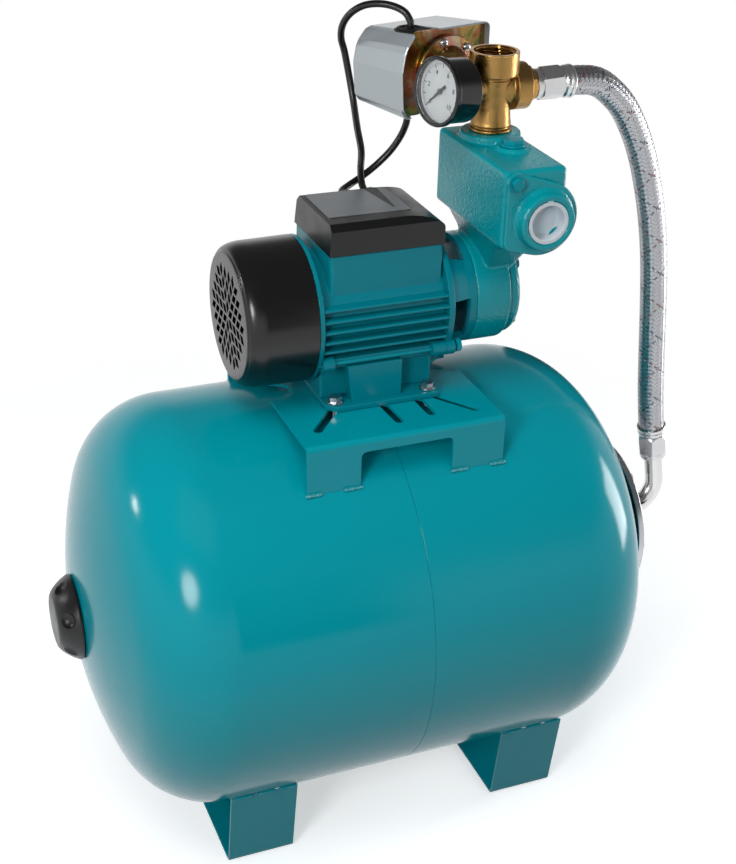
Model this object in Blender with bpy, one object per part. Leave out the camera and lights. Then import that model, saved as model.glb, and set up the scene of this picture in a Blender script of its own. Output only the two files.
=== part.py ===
# Booster pump set: a self-priming electric pump on a platform that is welded to a horizontal
# diaphragm tank, with a five-way brass fitting, pressure gauge, pressure switch and braided hose.
#
# Sizes are millimetres until a piece is finished, when its mesh becomes metres. X runs along the
# tank, Y away from the viewer and Z up. Pieces are drawn from the middle of the tank, and each
# finished piece is then moved so that the origin lies on the floor under the middle of the whole.
from math import asin, atan2, cos, degrees, pi, radians, sin, sqrt, tan

import bmesh
import bpy
from mathutils import Matrix, Vector

MM = 0.001
GAP = 0.3                      # clearance between pieces that touch

# Sides of a round piece, by its size
LARGE = 32
MEDIUM = 20
SMALL = 12
TINY = 8

# Tank
TANK_RADIUS = 180.0
TANK_WALL = 1.5
TANK_AXIS_HEIGHT = 215.0       # above the floor
LEFT_POLE = 251.0              # from the seam's datum to the outside of the left end
LEFT_CROWN = 420.0
LEFT_KNUCKLE = 76.0
RIGHT_POLE = 247.0
RIGHT_CROWN = 315.0
RIGHT_KNUCKLE = 86.0
SEAM_X = 4.0
VALVE_HOLE = 7.0
NECK_RADIUS = 54.0
NECK_BORE = 48.0
NECK_REACH = 5.0               # the neck's face beyond the right pole
NECK_RIM = 70.0
NECK_RIM_THICK = 5.0
MEMBRANE_WALL = 2.5
MEMBRANE_LIP = 3.4
MEMBRANE_RADIUS = 152.0
MEMBRANE_LENGTH = 430.0
FLANGE_RADIUS = 75.0
FLANGE_THICK = 6.0
FLANGE_HUB = 17.0
FLANGE_HUB_LENGTH = 6.0

# Feet
FOOT_WIDTH = 60.0
FOOT_SHEET = 2.5
FOOT_HALF_BOTTOM = 110.0
FOOT_LEAN = 9.0                # degrees from upright, wider at the top
FOOT_BEND = 6.0
LEFT_FOOT_X = -125.0
RIGHT_FOOT_X = 132.0

# Air valve at the left end
VALVE_BODY = 6.5
VALVE_LENGTH = 14.0
VALVE_NUT = 11.0
CAP_RADIUS = 37.0
CAP_FACE = 24.0
CAP_HEIGHT = 19.0
CAP_WALL = 3.0
CAP_STANDOFF = 2.5
CAP_SCALLOPS = 6
CAP_SCALLOP = 9.5

# Platform
PLATE = 3.0
PLATE_TOP = 187.3
PLATE_LEFT = -82.4
PLATE_RIGHT = 89.9
PLATE_HALF_DEPTH = 107.0
PLATE_LEG = 46.0
PLATE_NOTCH = 17.0             # half width of the notch in each end
PLATE_NOTCH_DEPTH = 22.0
SLOT_WIDTH = 8.0

# Motor
SHAFT_HEIGHT = 72.7            # above the platform
MOTOR_LEFT = -50.0
MOTOR_RIGHT = 58.0
BODY_RADIUS = 49.0
FIN_RADIUS = 58.0
FIN_PITCH = 9.0
FIN_THICK = 2.6
FINS = 7
FIRST_FIN = 17.0               # above the shaft
STATOR_RADIUS = 42.0
STATOR_BORE = 25.0
STATOR_LENGTH = 62.0
STATOR_SLOTS = 12
COIL_RADIUS = 37.0
COIL_LENGTH = 13.0
AIR_GAP = 0.8
ROTOR_LENGTH = 60.0
SHAFT_RADIUS = 6.0
BEARING_OUTER = 16.0
BEARING_WIDTH = 10.0
BASE_LEFT = -41.0              # terminal base on top of the motor
BASE_RIGHT = 58.0
BASE_HALF = 42.5
BASE_TOP = 57.0                # above the shaft
BASE_FLAT = 24.0
BASE_WALL = 4.0
LID_HEIGHT = 25.0
LID_LOW_END = 14.0
LID_WALL = 2.2
PAD_LEFT = -46.3
PAD_RIGHT = 53.2
PAD_HALF = 57.0
PAD_THICK = 5.0
PEDESTAL_HALF = 36.0
PANEL_HALF = 50.0
PANEL_LEFT = -25.0
PANEL_RIGHT = 23.0
PANEL_TOP = 37.0               # above the platform
FOOT_BOLT_LEFT = -37.0
FOOT_BOLT_RIGHT = 45.0
FOOT_BOLT_Y = 47.5
BOLT_M6 = 3.0
SHIELD_RADIUS = 60.0
SHIELD_THICK = 4.0
TIE_BOLT_Y = 49.0
TIE_BOLT_Z = -31.0
TIE_BOLT = 2.5
TIE_LUG = 6.5

# Fan and its cover
COVER_LENGTH = 58.3
COVER_RADIUS = 60.1
COVER_FACE = 53.3
COVER_SHOULDER = 18.0
COVER_WALL = 1.6
GRILLE_PITCH = 10.2
GRILLE_ROWS = 4
GRILLE_WEB = 2.2
FAN_RADIUS = 46.0
FAN_HUB = 12.0
FAN_BLADES = 7
FAN_WIDTH = 20.0
FAN_PLATE = 2.0

# Pump
LANTERN_END = 88.0             # where the bracket meets the pump casing
CASING_RADIUS = 47.0
CASING_END = 119.5
LANTERN_WALL = 4.0
LANTERN_FLANGE = 5.0
LANTERN_WINDOWS = 4
WINDOW_ANGLE = 58.0
COVER_PLATE_RADIUS = 43.5
COVER_PLATE_END = 130.5
IMPELLER_RADIUS = 35.0
IMPELLER_WIDTH = 9.0
IMPELLER_BLADES = 24
IMPELLER_X = 107.0
SEAL_HOLE = 8.0
SLINGER_RADIUS = 17.0
NECK_LEFT = 100.0
NECK_RIGHT = 125.0
NECK_FRONT = -38.0
NECK_BACK = 11.0
HEAD_LEFT = 86.5
HEAD_RIGHT = 137.0
HEAD_FRONT = -84.0
HEAD_BACK = 38.0
HEAD_BOTTOM = 325.0
HEAD_TOP = 385.0
HEAD_WALL = 4.0
PORT_X = 113.0                 # the discharge port's upright axis, in line with the shaft
BOSS_RADIUS = 25.0
BOSS_TOP = 398.0
PORT_THREAD = 16.4
SUCTION_X = 117.0
SUCTION_Z = 349.3
SUCTION_FACE = -101.6
SUCTION_RADIUS = 21.5
SUCTION_ROOT = 26.0
SUCTION_BORE = 15.6
SUCTION_FLANGE = 30.0
SUCTION_FLANGE_THICK = 5.5
SUCTION_EAR = 34.8
SUCTION_EAR_RADIUS = 8.5
PRIMING_X = 116.0
PRIMING_Y = -36.0
PRIMING_BOSS = 16.0
PRIMING_BOSS_HEIGHT = 5.0
PRIMING_THREAD = 8.0
PRIMING_HEX = 9.5

# Five-way fitting
SIDE_PORT_Z = 429.0
FITTING_TOP = 459.0
FITTING_BORE = 12.3
TOP_PORT_RADIUS = 19.4
TOP_PORT_THREAD = 15.6
SIDE_PORT_RADIUS = 17.5
SIDE_PORT_END = 141.0
NIPPLE_END = 149.0
SMALL_PORT_RADIUS = 8.5
SMALL_PORT_REACH = 23.5
SMALL_PORT_BORE = 4.5

# Pressure gauge, which looks left, a little forward and a little up
GAUGE_TURN = 15.5              # degrees from -X towards the front
GAUGE_TILT = 5.0
GAUGE_RADIUS = 25.5
GAUGE_BACK = 31.0              # along its axis from the fitting's axis
GAUGE_FRONT = 60.0
BEZEL_RADIUS = 27.4
BEZEL_DEPTH = 4.0
DIAL_RADIUS = 24.6
GAUGE_STEM = 5.0
NEEDLE_TURN = 132.0            # degrees from straight up to the needle's zero
BOURDON_RADIUS = 15.0
BOURDON_TUBE = 2.2

# Pressure switch behind the fitting
SWITCH_TURN = 14.0             # degrees from +Y towards -X
SWITCH_PLATE = 62.0            # from the fitting's axis to the base plate's front
SWITCH_SHEET = 1.5
SWITCH_BEHIND = 50.0           # the flange's axis from the outline's leftmost point
SWITCH_BELOW = 35.0            # the flange's axis above the outline's bottom
SWITCH_WIDTH = 92.0
SWITCH_HEIGHT = 72.0
SWITCH_DEPTH = 58.0
SWITCH_COVER_WALL = 1.2
SWITCH_FLANGE = 30.0
SWITCH_NUT = 11.0
GROMMET_ACROSS = 26.0
GROMMET_BEHIND = 14.0
GROMMET_RADIUS = 13.0
GROMMET_NECK = 9.5
GROMMET_RISE = 3.2
CABLE_RADIUS = 3.0
GLAND_LEFT_X = 8.0
GLAND_RIGHT_X = 30.0
GLAND_RISE = 69.0              # above the shaft
GLAND_RADIUS = 8.0
GLAND_LENGTH = 15.0

# Elbow and hose
ELBOW_TUBE = 8.5
ELBOW_BORE = 6.5
ELBOW_START = 288.3
ELBOW_RADIUS = 26.0
ELBOW_SWEEP = 100.0
ELBOW_TAIL = 16.0
HOSE_RADIUS = 12.0
FERRULE_LENGTH = 34.0
FERRULE_RADIUS = 13.4
FERRULE_COLLAR = 12.2

SHAFT_Z = PLATE_TOP + SHAFT_HEIGHT
COVER_START = MOTOR_LEFT - SHIELD_THICK - GAP
LEFT_REACH = -LEFT_POLE - CAP_STANDOFF - CAP_HEIGHT
RIGHT_REACH = ELBOW_START + ELBOW_RADIUS + ELBOW_TUBE
MIDDLE_X = (LEFT_REACH + RIGHT_REACH) / 2

X_AXIS = Vector((1, 0, 0))
Y_AXIS = Vector((0, 1, 0))
Z_AXIS = Vector((0, 0, 1))

for leftover in list(bpy.data.objects):
    bpy.data.objects.remove(leftover)

ORIGIN = Vector((MIDDLE_X, 0, -TANK_AXIS_HEIGHT))

materials = {}


def material(name, colour, roughness, metallic=0.0):
    """One Principled material, made once for each finish."""
    made = bpy.data.materials.new(name)
    made.use_nodes = True
    shader = made.node_tree.nodes["Principled BSDF"]
    shader.inputs["Base Color"].default_value = (*colour, 1)
    shader.inputs["Roughness"].default_value = roughness
    shader.inputs["Metallic"].default_value = metallic
    made.diffuse_color = (*colour, 1)
    materials[name] = made


material("teal_paint", (0.0, 0.23, 0.28), 0.25)
material("black_paint", (0.012, 0.012, 0.014), 0.35)
material("black_plastic", (0.015, 0.015, 0.016), 0.45)
material("grey_plastic", (0.36, 0.39, 0.40), 0.40)
material("white_plastic", (0.75, 0.78, 0.80), 0.45)
material("rubber", (0.02, 0.02, 0.02), 0.8)
material("brass", (0.60, 0.40, 0.16), 0.32, 1.0)
material("chrome", (0.75, 0.75, 0.75), 0.10, 1.0)
material("zinc", (0.62, 0.62, 0.62), 0.30, 1.0)
material("gold_zinc", (0.66, 0.50, 0.22), 0.30, 1.0)
material("steel", (0.50, 0.50, 0.51), 0.40, 1.0)
material("copper", (0.72, 0.34, 0.16), 0.35, 1.0)
material("glass", (0.9, 0.95, 0.95), 0.05)
material("braid", (0.55, 0.56, 0.57), 0.35, 1.0)


# Shapes

def frame_on(origin, along, up=Z_AXIS):
    """Matrix that puts local Z along an axis, with local X near the given up direction."""
    z = Vector(along).normalized()
    x = Vector(up) - z * z.dot(Vector(up))
    if x.length < 1e-6:
        x = X_AXIS - z * z.dot(X_AXIS)
    x.normalize()
    y = z.cross(x)
    turn = Matrix((x, y, z)).transposed().to_4x4()
    return Matrix.Translation(Vector(origin)) @ turn


def mesh_object(vertices, faces, matrix=None):
    """A working object in millimetres, with its faces turned outwards."""
    mesh = bpy.data.meshes.new("shape")
    mesh.from_pydata([tuple(v) for v in vertices], [], faces)
    if matrix is not None:
        mesh.transform(matrix)
    bm = bmesh.new()
    bm.from_mesh(mesh)
    bmesh.ops.remove_doubles(bm, verts=bm.verts, dist=1e-4)
    bmesh.ops.recalc_face_normals(bm, faces=bm.faces)
    bm.to_mesh(mesh)
    bm.free()
    made = bpy.data.objects.new("shape", mesh)
    bpy.context.scene.collection.objects.link(made)
    return made


def revolve(profile, segments, matrix=None, closed=False):
    """Turn (along, radius) points round local Z. An open profile starts and ends on the axis."""
    vertices = []
    rings = []
    for along, radius in profile:
        if radius < 1e-6:
            rings.append([len(vertices)])
            vertices.append((0, 0, along))
            continue
        ring = []
        for k in range(segments):
            angle = 2 * pi * k / segments
            ring.append(len(vertices))
            vertices.append((radius * cos(angle), radius * sin(angle), along))
        rings.append(ring)
    faces = []
    pairs = list(zip(rings, rings[1:]))
    if closed:
        pairs.append((rings[-1], rings[0]))
    for low, high in pairs:
        for k in range(segments):
            following = (k + 1) % segments
            corners = [low[k % len(low)], low[following % len(low)],
                       high[following % len(high)], high[k % len(high)]]
            face = list(dict.fromkeys(corners))
            if len(face) > 2:
                faces.append(face)
    return mesh_object(vertices, faces, matrix)


def ring(inner, outer, low, high, segments, matrix=None):
    """A plain washer or sleeve about local Z."""
    return revolve([(low, inner), (low, outer), (high, outer), (high, inner)], segments, matrix, True)


def prism(outline, low, high, matrix=None):
    """Extrude an outline in local XY from low to high on local Z."""
    count = len(outline)
    vertices = [(x, y, low) for x, y in outline] + [(x, y, high) for x, y in outline]
    faces = [list(range(count))[::-1], list(range(count, 2 * count))]
    for k in range(count):
        following = (k + 1) % count
        faces.append([k, following, count + following, count + k])
    return mesh_object(vertices, faces, matrix)


def rod(radius, low, high, segments, matrix=None):
    """A plain solid cylinder about local Z, turned a little so that its edges meet no others."""
    outline = []
    for k in range(segments):
        angle = 2 * pi * k / segments + 0.03
        outline.append((radius * cos(angle), radius * sin(angle)))
    return prism(outline, low, high, matrix)


def box(low, high):
    """An upright box between two corners."""
    outline = [(low[0], low[1]), (high[0], low[1]), (high[0], high[1]), (low[0], high[1])]
    return prism(outline, low[2], high[2])


def hexagon(across_corners):
    """Corner points of a hexagon."""
    return [(across_corners * cos(radians(60 * k)), across_corners * sin(radians(60 * k)))
            for k in range(6)]


def hex_head(radius, low, high, matrix):
    """A hexagonal head or nut about local Z."""
    return prism(hexagon(radius), low, high, matrix)


def hex_nut(radius, bore, low, high, matrix):
    """A hexagonal nut with a round bore."""
    return cut(hex_head(radius, low, high, matrix), rod(bore, low - 1, high + 1, TINY, matrix))


def bolt(matrix, thread, head, grip, head_height=4.0):
    """A hexagon bolt: its head sits on local z = 0 and its thread runs down."""
    profile = [(-grip, 0), (-grip, thread), (0, thread)]
    shank = revolve(profile + [(head_height / 2, thread), (head_height / 2, 0)], TINY, matrix)
    return join(shank, hex_head(head, 0, head_height, matrix))


def sweep(points, radius, sides, inner=None):
    """A round bar, or a tube with open ends, along points."""
    path = [Vector(p) for p in points]
    tangents = []
    for k in range(len(path)):
        before = path[max(k - 1, 0)]
        after = path[min(k + 1, len(path) - 1)]
        tangents.append((after - before).normalized())
    side = tangents[0].orthogonal().normalized()
    vertices = []
    faces = []
    radii = [radius] if inner is None else [radius, inner]
    for layer in radii:
        across = side.copy()
        for point, tangent in zip(path, tangents):
            across = (across - tangent * across.dot(tangent)).normalized()
            other = tangent.cross(across)
            for k in range(sides):
                angle = 2 * pi * k / sides
                vertices.append(point + layer * (cos(angle) * across + sin(angle) * other))
    count = len(path) * sides
    for layer in range(len(radii)):
        for row in range(len(path) - 1):
            for k in range(sides):
                a = layer * count + row * sides + k
                b = layer * count + row * sides + (k + 1) % sides
                faces.append([a, b, b + sides, a + sides])
    if inner is None:
        faces.append(list(range(sides)))
        faces.append(list(range(count - sides, count)))
    else:
        for k in range(sides):
            following = (k + 1) % sides
            faces.append([k, following, count + following, count + k])
            last = count - sides
            faces.append([last + k, last + following, count + last + following, count + last + k])
    return mesh_object(vertices, faces)


# Joining and cutting

def settle(target, tools, operation):
    """Apply Boolean modifiers to an object and drop the objects they used."""
    for tool in tools:
        modifier = target.modifiers.new("step", "BOOLEAN")
        modifier.operation = operation
        modifier.solver = "EXACT"
        modifier.object = tool
    bpy.context.view_layer.update()
    evaluated = target.evaluated_get(bpy.context.evaluated_depsgraph_get())
    target.data = bpy.data.meshes.new_from_object(evaluated)
    target.modifiers.clear()
    for tool in tools:
        bpy.data.objects.remove(tool)
    return target


def join(target, *others):
    """Union of overlapping shapes."""
    return settle(target, others, "UNION")


def cut(target, *tools):
    """The target with the tools' space taken away."""
    return settle(target, tools, "DIFFERENCE")


def gather(shapes):
    """One working object from shapes that don't meet, for instance a pattern of cutters."""
    bm = bmesh.new()
    for shape in shapes:
        bm.from_mesh(shape.data)
    for shape in shapes[1:]:
        bpy.data.objects.remove(shape)
    bm.to_mesh(shapes[0].data)
    bm.free()
    return shapes[0]


def finish(name, shape, finish_name, pivot=(0, 0, 0), smooth=32):
    """Name a piece, turn it to metres about its pivot, give it its finish and put it in place."""
    mesh = shape.data
    pivot = Vector(pivot)
    bm = bmesh.new()
    bm.from_mesh(mesh)
    bmesh.ops.dissolve_degenerate(bm, dist=1e-3, edges=bm.edges)
    bmesh.ops.triangulate(bm, faces=[face for face in bm.faces if len(face.verts) > 4])
    bm.to_mesh(mesh)
    bm.free()
    mesh.transform(Matrix.Scale(MM, 4) @ Matrix.Translation(-pivot))
    mesh.materials.clear()
    mesh.materials.append(materials[finish_name])
    mesh.shade_smooth()
    mesh.set_sharp_from_angle(angle=radians(smooth))
    mesh.name = name
    shape.name = name
    shape.location = (pivot - ORIGIN) * MM
    return shape


def arc(centre, radius, start, end, steps):
    """Points on an arc, angles in degrees."""
    points = []
    for k in range(steps + 1):
        angle = radians(start + (end - start) * k / steps)
        points.append((centre[0] + radius * cos(angle), centre[1] + radius * sin(angle)))
    return points


def on_shaft(x=0.0, y=0.0, z=0.0):
    """Frame whose local Z runs along the motor's shaft, and whose local X is up."""
    return frame_on((x, y, SHAFT_Z + z), X_AXIS)


# Tank

def head_section(pole, inward, crown, knuckle, radius, hole, crown_steps=3, knuckle_steps=3):
    """A dished end from its centre hole to the straight barrel, as (x, radius) points."""
    turn = asin((radius - knuckle) / (crown - knuckle))
    start = asin(hole / crown)
    crown_x = pole + inward * crown
    knuckle_x = crown_x - inward * (crown - knuckle) * cos(turn)
    points = []
    for k in range(crown_steps + 1):
        angle = start + (turn - start) * k / crown_steps
        points.append((crown_x - inward * crown * cos(angle), crown * sin(angle)))
    for k in range(1, knuckle_steps + 1):
        angle = turn + (pi / 2 - turn) * k / knuckle_steps
        points.append((knuckle_x - inward * knuckle * cos(angle), radius - knuckle + knuckle * sin(angle)))
    return points


tank_axis = frame_on((0, 0, 0), X_AXIS)


def tank_shell_left():
    outer = head_section(-LEFT_POLE, 1, LEFT_CROWN, LEFT_KNUCKLE, TANK_RADIUS, VALVE_HOLE)
    inner = head_section(-LEFT_POLE + TANK_WALL, 1, LEFT_CROWN - TANK_WALL, LEFT_KNUCKLE - TANK_WALL,
                         TANK_RADIUS - TANK_WALL, VALVE_HOLE)
    end = SEAM_X - GAP / 2
    profile = outer + [(end, TANK_RADIUS), (end, TANK_RADIUS - TANK_WALL)] + inner[::-1]
    finish("tank_shell_left", revolve(profile, LARGE, tank_axis, True), "teal_paint")


NECK_FACE = RIGHT_POLE + NECK_REACH


def tank_shell_right():
    outer = head_section(RIGHT_POLE, -1, RIGHT_CROWN, RIGHT_KNUCKLE, TANK_RADIUS, NECK_RADIUS)
    inner = head_section(RIGHT_POLE - TANK_WALL, -1, RIGHT_CROWN - TANK_WALL, RIGHT_KNUCKLE - TANK_WALL,
                         TANK_RADIUS - TANK_WALL, NECK_BORE)
    end = SEAM_X + GAP / 2
    neck = [(NECK_FACE, NECK_BORE), (NECK_FACE, NECK_RIM), (NECK_FACE - NECK_RIM_THICK, NECK_RIM),
            (NECK_FACE - NECK_RIM_THICK, NECK_RADIUS)]
    profile = neck + outer + [(end, TANK_RADIUS), (end, TANK_RADIUS - TANK_WALL)] + inner[::-1]
    finish("tank_shell_right", revolve(profile, LARGE, tank_axis, True), "teal_paint")


LIP_START = NECK_FACE + GAP
LIP_END = LIP_START + MEMBRANE_LIP
FLANGE_START = LIP_END + GAP


def membrane_section(shrink):
    """The bag from its neck to its closed end, thinner by the given amount."""
    neck = NECK_BORE - GAP - shrink
    middle = LIP_START - 12 - MEMBRANE_LENGTH / 2
    points = [(LIP_START - 12, neck)]
    steps = 7
    start = asin(neck / (MEMBRANE_RADIUS - shrink))
    for k in range(1, steps + 1):
        angle = start + (pi - start) * k / steps
        reach = (MEMBRANE_LENGTH / 2 - shrink) * cos(angle)
        points.append((middle + reach, (MEMBRANE_RADIUS - shrink) * sin(angle)))
    return points


def tank_membrane():
    outer = membrane_section(0)
    inner = membrane_section(MEMBRANE_WALL)
    lip = [(LIP_START, NECK_BORE - GAP), (LIP_START, NECK_RIM), (LIP_END, NECK_RIM),
           (LIP_END, NECK_BORE - GAP - MEMBRANE_WALL)]
    profile = outer[::-1] + lip + inner
    finish("tank_membrane", revolve(profile, SMALL, tank_axis), "rubber")


def tank_flange():
    hub_end = FLANGE_START + FLANGE_THICK + FLANGE_HUB_LENGTH
    bore = ELBOW_TUBE + GAP
    face = FLANGE_START + FLANGE_THICK
    profile = [(FLANGE_START, bore), (FLANGE_START, FLANGE_RADIUS - 1), (FLANGE_START + 1, FLANGE_RADIUS),
               (face - 2, FLANGE_RADIUS), (face, FLANGE_RADIUS - 2), (face, FLANGE_HUB + 2),
               (face + 2, FLANGE_HUB), (hub_end, FLANGE_HUB), (hub_end, bore)]
    finish("tank_flange", revolve(profile, LARGE, tank_axis, True), "zinc")


def foot(name, middle):
    """A strip bent to a trough whose two walls stand on the tank's underside."""
    depth = TANK_AXIS_HEIGHT
    lean = tan(radians(FOOT_LEAN))
    outer = FOOT_HALF_BOTTOM
    bend = FOOT_BEND
    top = -TANK_RADIUS * 0.55
    rise = top + depth
    half = [(outer + lean * rise, top)]
    half += [(outer + lean * bend, -depth + bend), (outer - bend * 0.3, -depth + bend * 0.3)]
    half += [(outer - bend, -depth)]
    wall = FOOT_SHEET
    inner = [(outer - bend, -depth + wall), (outer - wall + lean * bend, -depth + bend + wall),
             (outer - wall + lean * rise, top)]
    outline = half + [(-y, z) for y, z in half[::-1]]
    outline += [(-y, z) for y, z in inner[::-1]] + inner
    strip = prism(outline, middle - FOOT_WIDTH / 2, middle + FOOT_WIDTH / 2,
                  Matrix(((0, 0, 1, 0), (1, 0, 0, 0), (0, 1, 0, 0), (0, 0, 0, 1))))
    body = rod(TANK_RADIUS + GAP, middle - FOOT_WIDTH, middle + FOOT_WIDTH, 3 * LARGE, tank_axis)
    finish(name, cut(strip, body), "teal_paint")


# Air valve

def air_valve():
    axis = frame_on((-LEFT_POLE, 0, 0), -X_AXIS)
    profile = [(-10, 2.0), (-10, VALVE_BODY), (0.6, VALVE_BODY), (0.6, VALVE_NUT), (2.2, VALVE_NUT),
               (2.2, 4.5), (VALVE_LENGTH, 4.5), (VALVE_LENGTH, 2.0)]
    finish("air_valve", revolve(profile, TINY, axis, True), "brass")


def air_valve_cap():
    """A hand cap with finger hollows, which covers the valve and pulls off."""
    axis = frame_on((-LEFT_POLE - CAP_STANDOFF, 0, 0), -X_AXIS)
    rim = 3.0
    outer = [(0, CAP_RADIUS), (rim, CAP_RADIUS)]
    steps = 4
    for k in range(1, steps + 1):
        angle = pi / 2 * k / steps
        outer.append((rim + (CAP_HEIGHT - rim - 1) * sin(angle) * 0.98,
                      CAP_FACE + 1 + (CAP_RADIUS - CAP_FACE - 1) * cos(angle)))
    outer += [(CAP_HEIGHT, CAP_FACE), (CAP_HEIGHT, 0)]
    inner = [(CAP_HEIGHT - CAP_WALL, 0), (CAP_HEIGHT - CAP_WALL, 8), (0, 8)]
    shape = revolve(inner + outer, MEDIUM, axis)
    tools = []
    for k in range(CAP_SCALLOPS):
        angle = 2 * pi * (k + 0.5) / CAP_SCALLOPS
        reach = CAP_RADIUS + 0.5
        place = axis @ Matrix.Translation((reach * cos(angle), reach * sin(angle), CAP_HEIGHT / 2 + 3.5))
        rows = 4
        ball = [(-CAP_SCALLOP * cos(pi * n / rows), CAP_SCALLOP * sin(pi * n / rows)) for n in range(rows + 1)]
        tools.append(revolve(ball, TINY, place))
    finish("air_valve_cap", cut(shape, *tools), "black_plastic")


# Platform

def slot(x1, y1, x2, y2, low, high, width=SLOT_WIDTH):
    """A round-ended slot cutter from one point to another."""
    angle = degrees(atan2(y2 - y1, x2 - x1))
    outline = arc((x2, y2), width / 2, angle - 90, angle + 90, 6)
    outline += arc((x1, y1), width / 2, angle + 90, angle + 270, 6)
    return prism(outline, low, high)


def motor_platform():
    """A sheet bent down at the front and back, whose four legs stand on the tank."""
    top = PLATE_TOP
    half = PLATE_HALF_DEPTH
    low = TANK_RADIUS * 0.7
    bend = 4.0
    outer = arc((half - bend, top - bend), bend, 90, 0, 4)
    inner = arc((half - bend, top - bend), bend - PLATE, 0, 90, 2)
    side = outer + [(half, low), (half - PLATE, low)] + inner
    outline = side + [(-y, z) for y, z in side[::-1]]
    sheet = prism(outline, PLATE_LEFT, PLATE_RIGHT,
                  Matrix(((0, 0, 1, 0), (1, 0, 0, 0), (0, 1, 0, 0), (0, 0, 0, 1))))
    window = box((PLATE_LEFT + PLATE_LEG, -half - 5, low - 5), (PLATE_RIGHT - PLATE_LEG, half + 5, top - 11))
    body = rod(TANK_RADIUS + GAP, PLATE_LEFT - 10, PLATE_RIGHT + 10, 3 * LARGE, tank_axis)
    tools = [window, body]
    for sign in (-1, 1):
        low_z, high_z = top - PLATE - 2, top + 2
        tools.append(slot(3, sign * 56, 4.5, sign * 85, low_z, high_z))
        tools.append(slot(34, sign * 56, 34.5, sign * 81, low_z, high_z))
        tools.append(slot(FOOT_BOLT_LEFT, sign * FOOT_BOLT_Y, -63.5, sign * 80, low_z, high_z))
        tools.append(slot(FOOT_BOLT_RIGHT, sign * FOOT_BOLT_Y, 72, sign * 86, low_z, high_z))
    for edge, inward in ((PLATE_LEFT, 1), (PLATE_RIGHT, -1)):
        notch = [(edge - inward * 2, -PLATE_NOTCH), (edge + inward * 6, -PLATE_NOTCH),
                 (edge + inward * PLATE_NOTCH_DEPTH, -6), (edge + inward * PLATE_NOTCH_DEPTH, 6),
                 (edge + inward * 6, PLATE_NOTCH), (edge - inward * 2, PLATE_NOTCH)]
        tools.append(prism(notch, top - PLATE - 2, top + 2))
    finish("motor_platform", cut(sheet, *tools), "teal_paint")


def foot_bolt_places():
    return [(x, sign * FOOT_BOLT_Y) for x in (FOOT_BOLT_LEFT, FOOT_BOLT_RIGHT) for sign in (-1, 1)]


def foot_bolts():
    """Hexagon bolts with captive washers."""
    under = PLATE_TOP + PAD_THICK + GAP
    grip = under - (PLATE_TOP - PLATE - 9)
    for number, (x, y) in enumerate(foot_bolt_places(), 1):
        place = frame_on((x, y, under), Z_AXIS, X_AXIS)
        shape = join(bolt(place, BOLT_M6, 5.8, grip, 5.6), rod(6.6, 0, 1.6, SMALL, place))
        finish(f"foot_bolt_{number}", shape, "zinc")


# Motor

def fin_side():
    """Right half of the finned housing's section, from the top of the terminal base down: (y, z)."""
    points = [(BASE_HALF, BASE_TOP), (BASE_HALF, BASE_FLAT)]
    for k in range(FINS):
        middle = FIRST_FIN - k * FIN_PITCH
        high = middle + FIN_THICK / 2
        low = middle - FIN_THICK / 2
        points.append((sqrt(BODY_RADIUS ** 2 - high ** 2), high))
        points.append((sqrt(FIN_RADIUS ** 2 - high ** 2), high))
        points.append((sqrt(FIN_RADIUS ** 2 - low ** 2), low))
        points.append((sqrt(BODY_RADIUS ** 2 - low ** 2), low))
    points.append((PEDESTAL_HALF * 0.72, -sqrt(BODY_RADIUS ** 2 - (PEDESTAL_HALF * 0.72) ** 2)))
    return points


to_yz = Matrix(((0, 0, 1, 0), (1, 0, 0, 0), (0, 1, 0, 0), (0, 0, 0, 1)))
lift = Matrix.Translation((0, 0, SHAFT_Z))


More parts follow.
